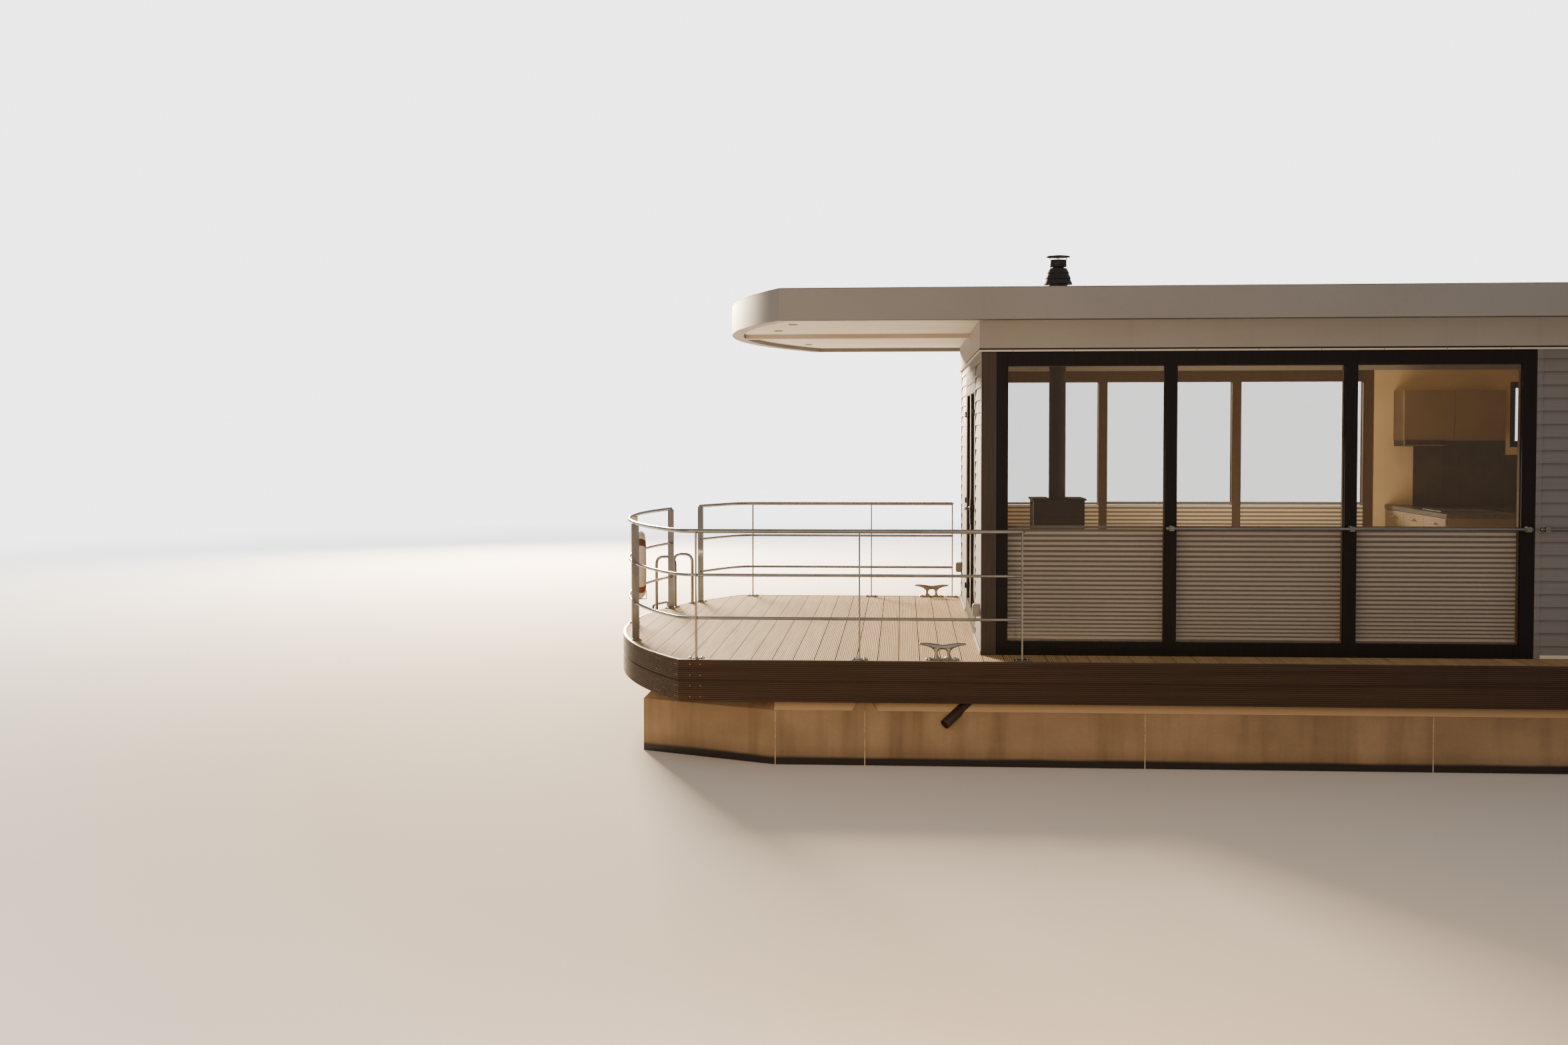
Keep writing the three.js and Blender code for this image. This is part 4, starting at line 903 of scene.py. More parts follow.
aft, pull = STERN_RAIL["x"], STERN_RAIL["pull"]
turn_x, turn_y = aft + STERN_RAIL["bend"], -RAIL["side"] + STERN_RAIL["bend"]
stern_start = REAR - 0.120
stern_line = np.concatenate([
    np.stack([np.linspace(stern_start, turn_x, 6), np.full(6, -RAIL["side"])], 1),
    hermite((turn_x, -RAIL["side"]), (aft, turn_y), (-pull, 0), (0, pull)),
    np.stack([np.full(10, aft), np.linspace(turn_y, STERN_RAIL["end"], 10)], 1)])
stern_posts = [(x, -RAIL["side"], math.pi / 2) for x in (stern_start, turn_x + 0.060)]
stern_posts += [(aft, y, 0.0) for y in (-1.300, -0.150, STERN_RAIL["end"] - 0.010)]

BUOY = {"angle": 0.2, "ring": 0.245, "radius": 0.050, "height": 0.598, "clear": 0.019}


def at_buoy(shape):
    """Moves a shape from the origin to the lifebuoy's place inside the bow rail, and turns it to the arc."""
    radius, centre, _ = arc_of(DECK_FORM)
    r = radius - (RAIL["bow"] + LEVELS[1][1] + BUOY["clear"] + BUOY["radius"])
    x, y = centre + r * math.cos(BUOY["angle"]), r * math.sin(BUOY["angle"])
    return spun(shape, BUOY["angle"], (x, y, DECK + BUOY["height"]))


def buoy_holder():
    """A flat back bar on two stand-offs, with a tray and a lip that the ring sits in."""
    back = BUOY["radius"] + SEAM
    foot = -BUOY["ring"] - BUOY["radius"] - 0.001
    half, arm = 0.040, 0.018
    parts = [brick((back, -half, foot - 0.006), (back + 0.005, half, 0.080)),
             brick((-back - 0.010, -half, foot - 0.006), (back + 0.002, half, foot)),
             brick((-back - 0.010, -half, foot - 0.001), (-back - 0.004, half, foot + 0.070))]
    for z in (height - BUOY["height"] for height, _ in LEVELS[1:]):
        parts.append(brick((back + 0.001, -arm, z - 0.016), (back + 0.025, arm, z + 0.016)))
    return at_buoy(gather(parts))


port_line = bow_rail(1, SIDE_POSTS["port"][2] - RAIL["stub"], BOW_GAP[0])
starboard_line = bow_rail(-1, SIDE_POSTS["starboard"][2] - RAIL["stub"], -BOW_GAP[1])
RAILINGS = {"port": (port_line, port_posts, [buoy_holder()]),
            "starboard": (starboard_line, starboard_posts, []),
            "stern": (stern_line, stern_posts, [])}
for side, (line, posts, more) in RAILINGS.items():
    piece(f"{side}_rails", rails(line), steel, smooth=40, replaces=[f"railing_{side}"])
    piece(f"{side}_posts", gather([post_at(*post) for post in posts] + more), steel, bevel=0.0012)
print("rail stations", len(port_line), len(starboard_line), len(stern_line))

# %% [markdown]
# The guard rails in front of the glass and the handrail along the walkway are single tubes on short arms.
# Each arm ends in a round rosette on the wall, and the tube passes through a small square block. The tube's
# ends carry turned balls.

# %% Guard rails and handrail
GUARD = {"height": 0.997, "stand": 0.052, "radius": 0.013, "arm": 0.008, "rosette": 0.022, "block": 0.0185,
         "ball": 0.017}
GUARD_RUN = (2.065, -0.660, (2.040, 0.675, -0.640))
HANDRAIL_RUN = (-0.740, -4.960, (-0.780, -2.130, -3.480, -4.920))


def guard_rail(face, out, run):
    start, end, brackets = run
    y, z = face + out * GUARD["stand"], DECK + GUARD["height"]
    shapes = [tube([(start, y, z), ((start + end) / 2, y, z), (end, y, z)], GUARD["radius"], sides=20)]
    for x in brackets:
        shapes.append(tube([(x, face + out * SEAM, z), (x, y, z)], GUARD["arm"], sides=14))
        rosette = [(x, face + out * d, z) for d in (SEAM, 0.005, 0.0075)]
        shapes.append(tube(rosette, np.array([1.0, 1.0, 0.72]) * GUARD["rosette"], sides=24))
        block = GUARD["block"]
        shapes.append(brick((x - block, y - block, z - block), (x + block, y + block, z + block)))
    ball = np.linspace(-math.pi / 2, math.pi / 2, 9)
    for x, way in ((start, 1), (end, -1)):
        path = [(x + way * GUARD["ball"] * math.sin(a), y, z) for a in ball]
        shapes.append(tube(path, np.maximum(GUARD["ball"] * np.cos(ball), 0.002), sides=18))
    return gather(shapes)


BARS = {"port_guard": (PORT, 1, GUARD_RUN, "window_guard_port"),
        "starboard_guard": (STARBOARD, -1, GUARD_RUN, "window_guard_starboard"),
        "port_handrail": (PORT, 1, HANDRAIL_RUN, "walkway_handrail")}
for name, (face, out, run, node) in BARS.items():
    piece(name, guard_rail(face, out, run), brushed, smooth=40, replaces=[node])

# %% [markdown]
# A mooring cleat is cast in one piece. Its horn is a bar whose top is a shallow V and whose ends taper.
# Two legs carry it and leave a round eye between them. The foot has a lobe with a bolt at each end. Horn
# and legs are lofts of ellipses, whose edges are read from short tables. The foot's half-width is the
# larger of the bar's and the lobe's circle: max(b, sqrt(r^2 - (|x| - c)^2)).

# %% Cleats
def oval_loft(centres, radii, axes, sides=18):
    """Ellipses at centres, with two radii along two fixed axes, joined into a closed form."""
    angle = np.linspace(0, 2 * np.pi, sides, endpoint=False)
    u, v = (np.array(a, float) for a in axes)
    radii = np.asarray(radii, float)
    ring = (radii[:, 0, None, None] * np.cos(angle)[None, :, None] * u
            + radii[:, 1, None, None] * np.sin(angle)[None, :, None] * v)
    return loft(np.asarray(centres, float)[:, None, :] + ring)


HORN = {"half": 0.181, "thick": 0.017}
HORN_TOP = ((0.0, 0.117), (0.060, 0.126), (0.112, 0.132), (0.176, 0.131), (0.181, 0.127))
HORN_UNDER = ((0.0, 0.080), (0.063, 0.078), (0.084, 0.091), (0.124, 0.106), (0.174, 0.115), (0.181, 0.118))
LEG_EDGE = ((0.006, 0.078), (0.010, 0.074), (0.028, 0.063), (0.050, 0.058), (0.070, 0.063), (0.091, 0.084))
EYE = {"height": 0.050, "radius": 0.035}
FOOT = {"half": 0.129, "bar": 0.022, "bar_end": 0.11, "lobe": 0.032, "centre": 0.097, "bolt": 1.2}
FOOT_LEVELS = ((1.0, 0.0), (1.0, 0.011), (0.975, 0.014))


def cleat():
    x = HORN["half"] * np.sin(np.linspace(-1, 1, 33) * math.pi / 2)
    top = np.interp(np.abs(x), *np.transpose(HORN_TOP))
    under = np.interp(np.abs(x), *np.transpose(HORN_UNDER))
    share = np.abs(x) / HORN["half"]
    tip = np.sqrt(np.clip(1 - ((share - 0.95) / 0.05).clip(0) ** 2, 0.04, 1))
    centres = np.stack([x, np.zeros_like(x), (top + under) / 2], axis=1)
    width = HORN["thick"] * tip * (1 - 0.3 * share**2)
    parts = [oval_loft(centres, np.stack([width, (top - under) / 2 * tip], 1), ((0, 1, 0), (0, 0, 1)))]
    z = np.linspace(LEG_EDGE[0][0], LEG_EDGE[-1][0], 18)
    outer = np.interp(z, *np.transpose(LEG_EDGE))
    inner = np.sqrt(np.maximum(EYE["radius"] ** 2 - (z - EYE["height"]) ** 2, 0.0))
    for way in (-1, 1):
        radii = np.stack([(outer - inner) / 2, np.full(len(z), HORN["thick"] - 0.001)], axis=1)
        centres = np.stack([way * (outer + inner) / 2, 0 * z, z], axis=1)
        parts.append(oval_loft(centres, radii, ((1, 0, 0), (0, 1, 0))))
    u = FOOT["half"] * np.sin(np.linspace(-1, 1, 41) * math.pi / 2)
    lobe = np.sqrt(np.maximum(FOOT["lobe"] ** 2 - (np.abs(u) - FOOT["centre"]) ** 2, 1e-7))
    half = np.maximum(FOOT["bar"] * (np.abs(u) < FOOT["bar_end"]), lobe)
    rim = np.concatenate([np.stack([u, -half], 1), np.stack([u[::-1], half[::-1]], 1)])
    parts.append(loft(np.stack([np.column_stack([rim * s, np.full(len(rim), z)]) for s, z in FOOT_LEVELS])))
    for way in (-1, 1):
        parts.append(moved(bolt, (way * FOOT["centre"], 0, 0.0139), FOOT["bolt"]))
    return gather(parts)


CLEATS = {"cleat_port_bow": (3.805, 2.450), "cleat_starboard_bow": (3.805, -2.450),
          "cleat_port_stern": (-5.800, 2.450), "cleat_starboard_stern": (-6.050, -2.380)}
for name, (x, y) in CLEATS.items():
    piece(name.replace("cleat", "horn_cleat"), moved(cleat(), (x, y, DECK + SEAM)), steel,
          smooth=40, replaces=[name])

# %% [markdown]
# The flue is spun from black sheet. From the roof up it has a flange, the pipe, three shingled courses of a
# cone, a neck, a drum and a shallow cap on four struts. Turning a profile about the pipe's axis makes each
# part; the lips between the courses are what shows from afar.

# %% Flue
FLUE = (2.720, 0.0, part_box("flue")[0].z)
FLUE_MM = [
    (0, 0), (150, 0), (150, 3), (146, 8), (110, 14), (92, 26), (86, 40), (84, 60), (84, 250), (86, 257),
    (128, 257), (129, 261), (110, 304), (111, 306), (115, 306), (116, 310), (95, 353), (96, 355), (99, 355),
    (100, 359), (77, 402), (54, 404), (52, 408), (52, 413), (75, 415), (76.5, 418), (76.5, 428), (78, 430),
    (78, 433), (76.5, 435), (76.5, 474), (75, 477), (70, 477), (68, 474), (68, 440), (0, 440)]
CAP_MM = [(0, 504), (100, 504), (107, 502), (108.5, 504), (108.5, 508), (104, 511), (60, 516), (20, 519.5),
          (0, 520)]
STRUT = {"at": 0.0725, "low": 0.470, "high": 0.506, "radius": 0.004}


def flue():
    parts = [turned(np.array(profile) / 1000, 56, FLUE) for profile in (FLUE_MM, CAP_MM)]
    for a in np.arange(4) * math.pi / 2:
        x, y = FLUE[0] + STRUT["at"] * math.cos(a), FLUE[1] + STRUT["at"] * math.sin(a)
        path = [(x, y, FLUE[2] + STRUT[end]) for end in ("low", "high")]
        parts.append(tube(path, STRUT["radius"], normal=(1, 0, 0), sides=10))
    return gather(parts)


piece("flue_pipe", flue(), black, smooth=35, replaces=["flue"])

# %% [markdown]
# The lifebuoy is a torus with four slightly raised bands. Its section is carried round the ring, and the
# bands are short stretches of a torus that is 1 mm fatter.

# %% Lifebuoy
BUOY_RING = BUOY["radius"] - 0.0008
BUOY_BAND = {"radius": BUOY["radius"] + 0.0002, "reach": 0.14}


def torus_part(start, end, radius, steps, closed=False):
    """Part of a ring that stands upright: centre + R (0, cos a, sin a), with a tube of the given radius."""
    a = np.linspace(start, end, steps, endpoint=not closed)
    path = np.stack([0 * a, BUOY["ring"] * np.cos(a), BUOY["ring"] * np.sin(a)], axis=1)
    return tube(path, radius, normal=(1, 0, 0), sides=20, closed=closed)


ring = torus_part(0, 2 * math.pi, BUOY_RING, 72, closed=True)
bands = [torus_part(a - BUOY_BAND["reach"], a + BUOY_BAND["reach"], BUOY_BAND["radius"], 9)
         for a in np.arange(4) * math.pi / 2 + math.pi / 4]
piece("buoy_ring", at_buoy(ring), shell, smooth=40, replaces=["lifebuoy"])
piece("buoy_bands", at_buoy(gather(bands)), band, smooth=40)

# %% [markdown]
# The swim ladder has two parts. The fixed part hooks over the deck's edge with two bent hoops, and the lower
# part folds up on pins. Both are round tube with flat treads, so corners are rounded paths: each corner of
# a polyline becomes a quadratic curve between the points where the bend starts and ends.

# %% Swim ladder
def rounded(corners, cut, steps=9):
    """A polyline with each inner corner replaced by a smooth bend that starts "cut" before it."""
    corners = np.asarray(corners, float)
    u = np.linspace(0, 1, steps)[:, None]
    path = [corners[:1]]
    for before, corner, after in zip(corners[:-2], corners[1:-1], corners[2:]):
        a = corner + (before - corner) / np.linalg.norm(before - corner) * cut
        b = corner + (after - corner) / np.linalg.norm(after - corner) * cut
        path.append((1 - u) ** 2 * a + 2 * u * (1 - u) * corner + u**2 * b)
    path.append(corners[-1:])
    return np.concatenate(path)


LADDER = {"y": -1.490, "half": 0.190, "inboard": -0.060, "outboard": 0.150, "hoop": 0.500,
          "pivot": (0.1775, -0.640), "treads": (-0.270, -0.540)}
FOLD = {"half": 0.164, "x": 0.205, "top": 0.010, "treads": (-0.090, -0.350)}


def at_ladder(shape):
    """Moves a shape from the origin to the ladder's place on the deck's edge, and turns it to the arc."""
    place = (float(on_arc(DECK_FORM, 0, LADDER["y"])), LADDER["y"], DECK)
    return spun(shape, math.asin(LADDER["y"] / arc_of(DECK_FORM)[0]), place)


def tread(x0, x1, half, z):
    """A flat step with four raised ribs along it."""
    ribs = np.linspace(x0 + 0.006, x1 - 0.006, 4)
    return gather([brick((x0, -half, z - 0.012), (x1, half, z + 0.010))]
                  + [brick((x - 0.0025, -half, z + 0.009), (x + 0.0025, half, z + 0.012)) for x in ribs])


def ladder_tubes():
    shapes = []
    for way in (-1, 1):
        y = way * LADDER["half"]
        corners = [(LADDER["inboard"], y, 0.004), (LADDER["inboard"], y, LADDER["hoop"]),
                   (LADDER["outboard"], y, LADDER["hoop"]), (LADDER["outboard"], y, LADDER["pivot"][1])]
        shapes.append(tube(rounded(corners, 0.085), 0.015, normal=(0, 1, 0), sides=18))
    return gather(shapes)


def ladder_plates():
    px, pz = LADDER["pivot"]
    shapes = [tread(0.124, 0.172, LADDER["half"] - 0.004, z) for z in LADDER["treads"]]
    for way in (-1, 1):
        y = way * LADDER["half"]
        shapes += [brick((-0.100, y - 0.030, 0.0003), (-0.020, y + 0.030, 0.008)),
                   brick((-0.003, y - 0.004, -0.180), (0.150, y + 0.004, -0.140)),
                   brick((0.150, way * 0.170, pz - 0.014), (px + 0.014, way * 0.178, pz + 0.025)),
                   tube([(px, way * 0.154, pz), (px, way * 0.182, pz)], 0.006, sides=14)]
        for dx in (-0.085, -0.035):
            shapes.append(moved(bolt, (dx, y, 0.0079)))
    return gather(shapes)


def fold_shape():
    px, pz = LADDER["pivot"]
    half, x, top = FOLD["half"], FOLD["x"], FOLD["top"]
    hoop = rounded([(x, -half, pz + 0.040), (x, -half, top), (x, half, top), (x, half, pz + 0.040)], 0.045)
    shapes = [tube(hoop - np.array([0, 0, 0.002]), 0.012, normal=(1, 0, 0), sides=16)]
    shapes += [tread(x - 0.012, x + 0.036, half - 0.003, z) for z in FOLD["treads"]]
    shapes += [brick((px - 0.014, way * 0.158, pz - 0.014), (x + 0.004, way * 0.165, pz + 0.060))
               for way in (-1, 1)]
    return gather(shapes)


piece("ladder_hoops", at_ladder(ladder_tubes()), steel, smooth=40, replaces=["swim_ladder_frame"])
piece("ladder_treads", at_ladder(ladder_plates()), steel, bevel=0.001)
piece("ladder_fold", at_ladder(fold_shape()), steel, body="swim_ladder", smooth=40,
      replaces=["swim_ladder_fold"])

# %% [markdown]
# Behind each pane of the glazed sides hangs a pleated blind between two thin rails. The cloth is a zigzag
# with faces 21.5 mm wide. It hangs from its upper rail, so the folds above carry the most weight and open
# the widest. The flat size is the width by the length of the unfolded zigzag.

# %% Pleated blinds
BLIND = {"low": 0.100, "high": 1.005, "face": 0.0215, "tight": 0.0145, "wide": 0.0208, "cloth": 0.0004,
         "rail": 0.022, "rail_depth": 0.018, "rail_gap": 0.004, "set_back": 0.1003, "over": 0.003,
         "least": 0.0012, "swell": 0.02, "swell_rate": 5.0}
BAYS = ((3.297, 2.085), (1.994, 0.722), (0.628, -0.601))
rng = np.random.default_rng(7)


def pleats(x0, x1, near, out):
    """A zigzag of equal faces. The cloth's weight opens the upper folds: each step h grows from "tight" to
    "wide" on its way up, and its depth is what is left of the face: d = sqrt(face^2 - h^2)."""
    low, high = DECK + BLIND["low"] + BLIND["rail"], DECK + BLIND["high"] - BLIND["rail"]
    count = 2 * round((high - low) / (BLIND["tight"] + BLIND["wide"]))
    steps = np.linspace(BLIND["tight"], BLIND["wide"], count)
    steps *= (high - low) / steps.sum()
    z = low + np.concatenate([[0.0], np.cumsum(steps)])
    mean = np.concatenate([steps[:1], (steps[1:] + steps[:-1]) / 2, steps[-1:]])
    swing = (np.arange(count + 1) % 2) * np.sqrt(BLIND["face"] ** 2 - mean**2)
    x = np.linspace(x0, x1, 13)
    wave = 1 + BLIND["swell"] * np.sin(x * BLIND["swell_rate"] + rng.uniform(0, 6))
    depth = BLIND["least"] + swing[None, :] * wave[:, None]
    front = np.stack([np.broadcast_to(x[:, None], depth.shape), near - out * depth,
                      np.broadcast_to(z[None, :], depth.shape)], axis=2)
    back = front - np.array([0, out * BLIND["cloth"], 0])
    length = float(np.hypot(np.diff(z), np.diff(swing)).sum())
    return loft(np.concatenate([front, back[:, ::-1]], axis=1)), length


def mark_folds(cloth):
    """A value on each face of the cloth, for the painted light on the folds: 1 where its normal rises, on
    the upper side of a fold, else 0.
    """
    normals = np.empty(3 * len(cloth.data.polygons), np.float32)
    cloth.data.polygons.foreach_get("normal", normals)
    side = cloth.data.attributes.new("painted_fold_light", "FLOAT", "FACE")
    side.data.foreach_set("value", (normals[2::3] > 0).astype(np.float32))


def blind_finish():
    """Woven cloth. The upper side of each fold is painted pale and the lower side dark: painted light and
    shade on the folds.
    """
    f = Finish("blind_cloth", linear(206, 204, 199), 0.85)
    weave = f.noise(f.stretched(1.0, 1.0, 2.0), 900.0, 2.0)
    clouds = f.noise(f.place, 1.2, 3.0)
    fold = f.tree.nodes.new("ShaderNodeAttribute")
    fold.attribute_name = "painted_fold_light"
    # Painted light and shade: faces that look up are pale, faces that look down are dark.
    tone = f.mix(fold.outputs["Fac"], linear(128, 122, 112), linear(240, 234, 222))
    f.colour(f.blend(tone, linear(150, 143, 132), clouds, 0.35, 0.7, 0.16))
    f.rough(weave, 0.75, 0.95)
    f.bump(weave, 0.0001, 0.1)
    f.feed(f.shader, {"Sheen Weight": 0.2})
    return f.material


blind_cloth = blind_finish()
for side, face, out in (("port", PORT, 1), ("starboard", STARBOARD, -1)):
    near = face - out * BLIND["set_back"]
    deep = near - out * BLIND["rail_depth"]
    rail_levels = (BLIND["low"] - BLIND["rail_gap"], BLIND["high"] - BLIND["rail"] + BLIND["rail_gap"])
    for k, (front, rear) in enumerate(BAYS, 1):
        x0, x1 = rear - BLIND["over"], front + BLIND["over"]
        shapes = [brick((x0, near, DECK + z), (x1, deep, DECK + z + BLIND["rail"])) for z in rail_levels]
        bars = piece(f"blind_rails_{side}_{k}", gather(shapes), blind_cloth, bevel=0.002)
        shape, length = pleats(x0, x1, near, out)
        replaced = [f"blind_{side}"] if k == 1 else []
        cloth = piece(f"blind_cloth_{side}_{k}", shape, blind_cloth, replaces=replaced)
        mark_folds(cloth)
print("unfolded blind", round(x1 - x0, 3), "x", round(length, 3), "m")

# %% [markdown]
# A bright metal strip covers the seam between deck and fascia, and a white coping covers the roof's rim.
# Each is a flat bar carried round the whole outline, so its sections form a closed ring. The outline
# function gives the same stations for every inset, which keeps the mitres true. The roof's edge itself is
# a skin with a lip that turns in under the canopy.

# %% Deck edge strip and roof coping
def outline(form, inset):
    """The closed plan of the deck or roof, moved in by inset, from the stern's starboard corner onwards."""
    side, stern = form["half"] - inset, form["stern"] + inset
    return np.concatenate([[[stern, -side]], bow_curve(form, inset), [[stern, side]]])


def ring_moulding(profile, plan):
    """A closed (inset, height) profile carried round a closed plan."""
    columns = [np.column_stack([plan(inset), np.full(len(plan(inset)), z)]) for inset, z in profile]
    sections = np.stack(columns, axis=1)
    return outward(sections.reshape(-1, 3), quads(*sections.shape[:2], True, True))


def flat_bar(level, width, shoulder, top, slope):
    """(inset, height) of a bar that lies on a level: upright to its shoulder, then slanted in to its top."""
    near, far = 0.0005, 0.0005 + width
    return [(near, level + SEAM), (near, level + shoulder), (near + slope, level + top),
            (far - slope, level + top), (far, level + shoulder), (far, level + SEAM)]


EDGE = {"skin": 0.030, "lip": 0.100, "soffit": SOFFIT - SEAM, "round": 0.003}
strip = flat_bar(DECK, 0.024, 0.0016, 0.0022, 0.0010)
coping = flat_bar(ROOF_HIGH, 0.029, 0.0020, 0.0035, 0.0025)
rim = [(EDGE["round"], ROOF_HIGH), (0.0, ROOF_HIGH - EDGE["round"]), (0.0, ROOF_LOW + EDGE["round"]),
       (EDGE["round"], ROOF_LOW), (EDGE["lip"] - EDGE["round"], ROOF_LOW),
       (EDGE["lip"], ROOF_LOW + EDGE["round"]), (EDGE["lip"], EDGE["soffit"]), (EDGE["skin"], EDGE["soffit"]),
       (EDGE["skin"], ROOF_HIGH)]
piece("deck_edge_strip", ring_moulding(strip, lambda i: outline(DECK_FORM, i)), brushed, smooth=30)
piece("roof_edge", ring_moulding(rim, lambda i: outline(ROOF_FORM, i)), roof_edge_white, smooth=30,
      replaces=["roof_fascia"])
piece("roof_coping", ring_moulding(coping, lambda i: outline(ROOF_FORM, i)), roof_white, smooth=30)

# %% [markdown]
# Screws hold the boards: a row of pairs across every board where a joist runs below, and double columns in
# the fascia. One small lathe form is copied to all places at once by adding each place to its points.

# %% Screws
def scatter(shape, places, angles=None):
    """Copies of a shape, each turned about the vertical by its angle and moved to its place."""
    points, faces = shape
    places = np.asarray(places, float)
    angles = np.zeros(len(places)) if angles is None else np.asarray(angles, float)
    c, s, o = np.cos(angles), np.sin(angles), np.zeros(len(angles))
    turn = np.stack([np.stack([c, -s, o], 1), np.stack([s, c, o], 1), np.stack([o, o, o + 1], 1)], axis=1)
    copies = np.einsum("nij,kj->nki", turn, np.asarray(points)) + places[:, None, :]
    starts = len(points) * np.arange(len(places))
    return copies.reshape(-1, 3), [[i + start for i in face] for start in starts.tolist() for face in faces]


SCREW = [(0, -0.001), (0.0038, -0.001), (0.0038, 0.0003), (0.0028, 0.0006), (0, 0.0004)]
SCREW_ROWS = (0.035, 0.131)
screw = turned(SCREW, 8)
board_x = BOARD["start"] + np.arange(-70, 17) * BOARD["pitch"]
screw_x = np.concatenate([board_x + row for row in SCREW_ROWS])
joist_y = np.append(np.arange(-2.4, 2.41, 0.4), [-2.49, 2.49, 2.2])
x, y = (v.ravel() for v in np.meshgrid(screw_x, joist_y))
inside = (x > DECK_FORM["stern"] + 0.04) & (x < on_arc(DECK_FORM, 0.04, y))
under_cabin = (x > REAR - 0.02) & (x < FRONT + 0.02) & (y > STARBOARD - 0.01) & (y < PORT + 0.02)
spots = np.column_stack([x, y, np.full(len(x), DECK)])[inside & ~under_cabin]
piece("deck_screws", scatter(screw, spots), brushed, smooth=40)

side_screw = outward(screw[0][:, [2, 1, 0]], screw[1])
levels = DECK - np.array([0.035, 0.120, 0.200, 0.285])
columns = np.array([FASCIA_SPLIT - 0.030, FASCIA_SPLIT - 0.110])
columns = np.concatenate([columns, 2 * FASCIA["thick"] + DECK_FORM["stern"] + np.array([0.0, 0.080])])
sx, sz = (v.ravel() for v in np.meshgrid(columns, levels))
side_places = [np.column_stack([sx, np.full(len(sx), way * DECK_FORM["half"]), sz]) for way in (-1, 1)]
radius, centre, reach = arc_of(DECK_FORM)
from_corner = np.array([0.030, 0.060, 0.360, 0.420, 1.500, 1.560]) / radius
bow_angles = np.concatenate([reach - from_corner, from_corner - reach, [-0.007, 0.007]])
ba, bz = (v.ravel() for v in np.meshgrid(bow_angles, levels))
bow_places = np.column_stack([centre + radius * np.cos(ba), radius * np.sin(ba), bz])
places = np.concatenate(side_places + [bow_places])
angles = np.concatenate([np.full(len(sx), -math.pi / 2), np.full(len(sx), math.pi / 2), ba])
piece("fascia_screws", scatter(side_screw, places, angles), steel, smooth=40)
print("screws", len(spots), "in the deck and", len(places), "in the fascia")

# %% [markdown]
# The pontoon was cast in bays, 2.1 m long. The joints between them are filled and stand out as pale lines.
# Each is a slim raised fillet with slanted flanks, on both sides and across the stern and bow. One more
# marks the corner to the bow's facets.

# %% Hull joints
FILLET = {"half": 0.0055, "proud": 0.0022, "sunk": 0.001, "low": 0.02, "high": HULL["bevel"] - 0.002}
JOINTS = {"side": (5.091, 4.40, 2.27, 0.13, -2.01, -4.14, -6.27), "stern": (-1.2, 1.2), "bow": (-0.97, 0.97)}
mortar = mottled_finish("pale_mortar", (182, 163, 134), (150, 130, 102), 0.8, 30.0, 0.001)


def fillet(place, out):
    """A vertical fillet on a wall: a trapezium in plan, carried from the keel to the bevel."""
    place, out = np.array(place), np.array(out)
    along = np.array([-out[1], out[0]])
    half, proud, sunk = FILLET["half"], FILLET["proud"], FILLET["sunk"]
    shape = [(-half, -sunk), (proud - half, proud), (half - proud, proud), (half, -sunk)]
    plan_points = np.array([place + a * along + b * out for a, b in shape])
    levels = (FILLET["low"], FILLET["high"])
    return loft(np.stack([np.column_stack([plan_points, np.full(4, z)]) for z in levels]))


joints = [fillet((x, way * HULL["side"]), (0, way)) for x in JOINTS["side"] for way in (-1, 1)]
joints += [fillet((HULL["stern"], y), (-1, 0)) for y in JOINTS["stern"]]
joints += [fillet((HULL["bow"], y), (1, 0)) for y in JOINTS["bow"]]
piece("hull_joints", gather(joints), mortar)

# %% [markdown]
# The drain pipe of the frame leaves the pontoon's side at a slant. Its upper end lies on the bevel, half
# sunk in the concrete, and runs on under the fascia. Its section is the part of a circle that stands over
# the bevel's plane. Each point of the section slides along the pipe's axis, forward to the side's plane
# and back to a level.

# %% Drain pipe on the bevel
DRAIN = {"from": (3.640, 2.400, 1.105), "to": (3.790, 2.520, 0.985), "radius": 0.039, "top": 1.144}
axis = np.array(DRAIN["to"]) - np.array(DRAIN["from"])
axis /= np.linalg.norm(axis)
upright = np.array([0.0, 1.0, 1.0]) / math.sqrt(2)
across = np.cross(axis, upright)
over_plane = (HULL["side"] + HULL["bevel"] + SEAM - DRAIN["from"][1] - DRAIN["from"][2]) / math.sqrt(2)
first = math.asin(over_plane / DRAIN["radius"])
turns = np.linspace(first, math.pi - first, 17)[:, None]
section = np.array(DRAIN["from"]) + DRAIN["radius"] * (np.cos(turns) * across + np.sin(turns) * upright)
forward = section + ((HULL["side"] - section[:, 1]) / axis[1])[:, None] * axis
back = section + ((DRAIN["top"] - section[:, 2]) / axis[2])[:, None] * axis
piece("drain_pipe_run", loft(np.stack([back, forward])), plastic, smooth=40)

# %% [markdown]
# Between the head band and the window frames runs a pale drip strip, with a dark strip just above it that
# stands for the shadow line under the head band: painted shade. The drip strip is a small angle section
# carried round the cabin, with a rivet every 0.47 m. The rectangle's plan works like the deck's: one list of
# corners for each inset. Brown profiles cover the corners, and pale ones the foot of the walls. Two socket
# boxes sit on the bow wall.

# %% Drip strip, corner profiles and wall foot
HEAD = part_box("head_band")[0].z
BAND_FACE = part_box("head_band")[1].y - PORT
DRIP = {"lap": 0.0015, "tall": 0.0125, "proud": 0.004, "edge": 0.001, "rivet_pitch": 0.47, "rivet": 1.1}
SHADE_STRIP = {"tall": 0.0125, "proud": 0.0015}
CORNER = {"wide": 0.112, "round": 0.005, "thick": 0.0028}
FOOT_STRIP = {"low": DECK + 0.0026, "bow": (0.010, DECK + 0.034), "port": (0.009, DECK + 0.030)}
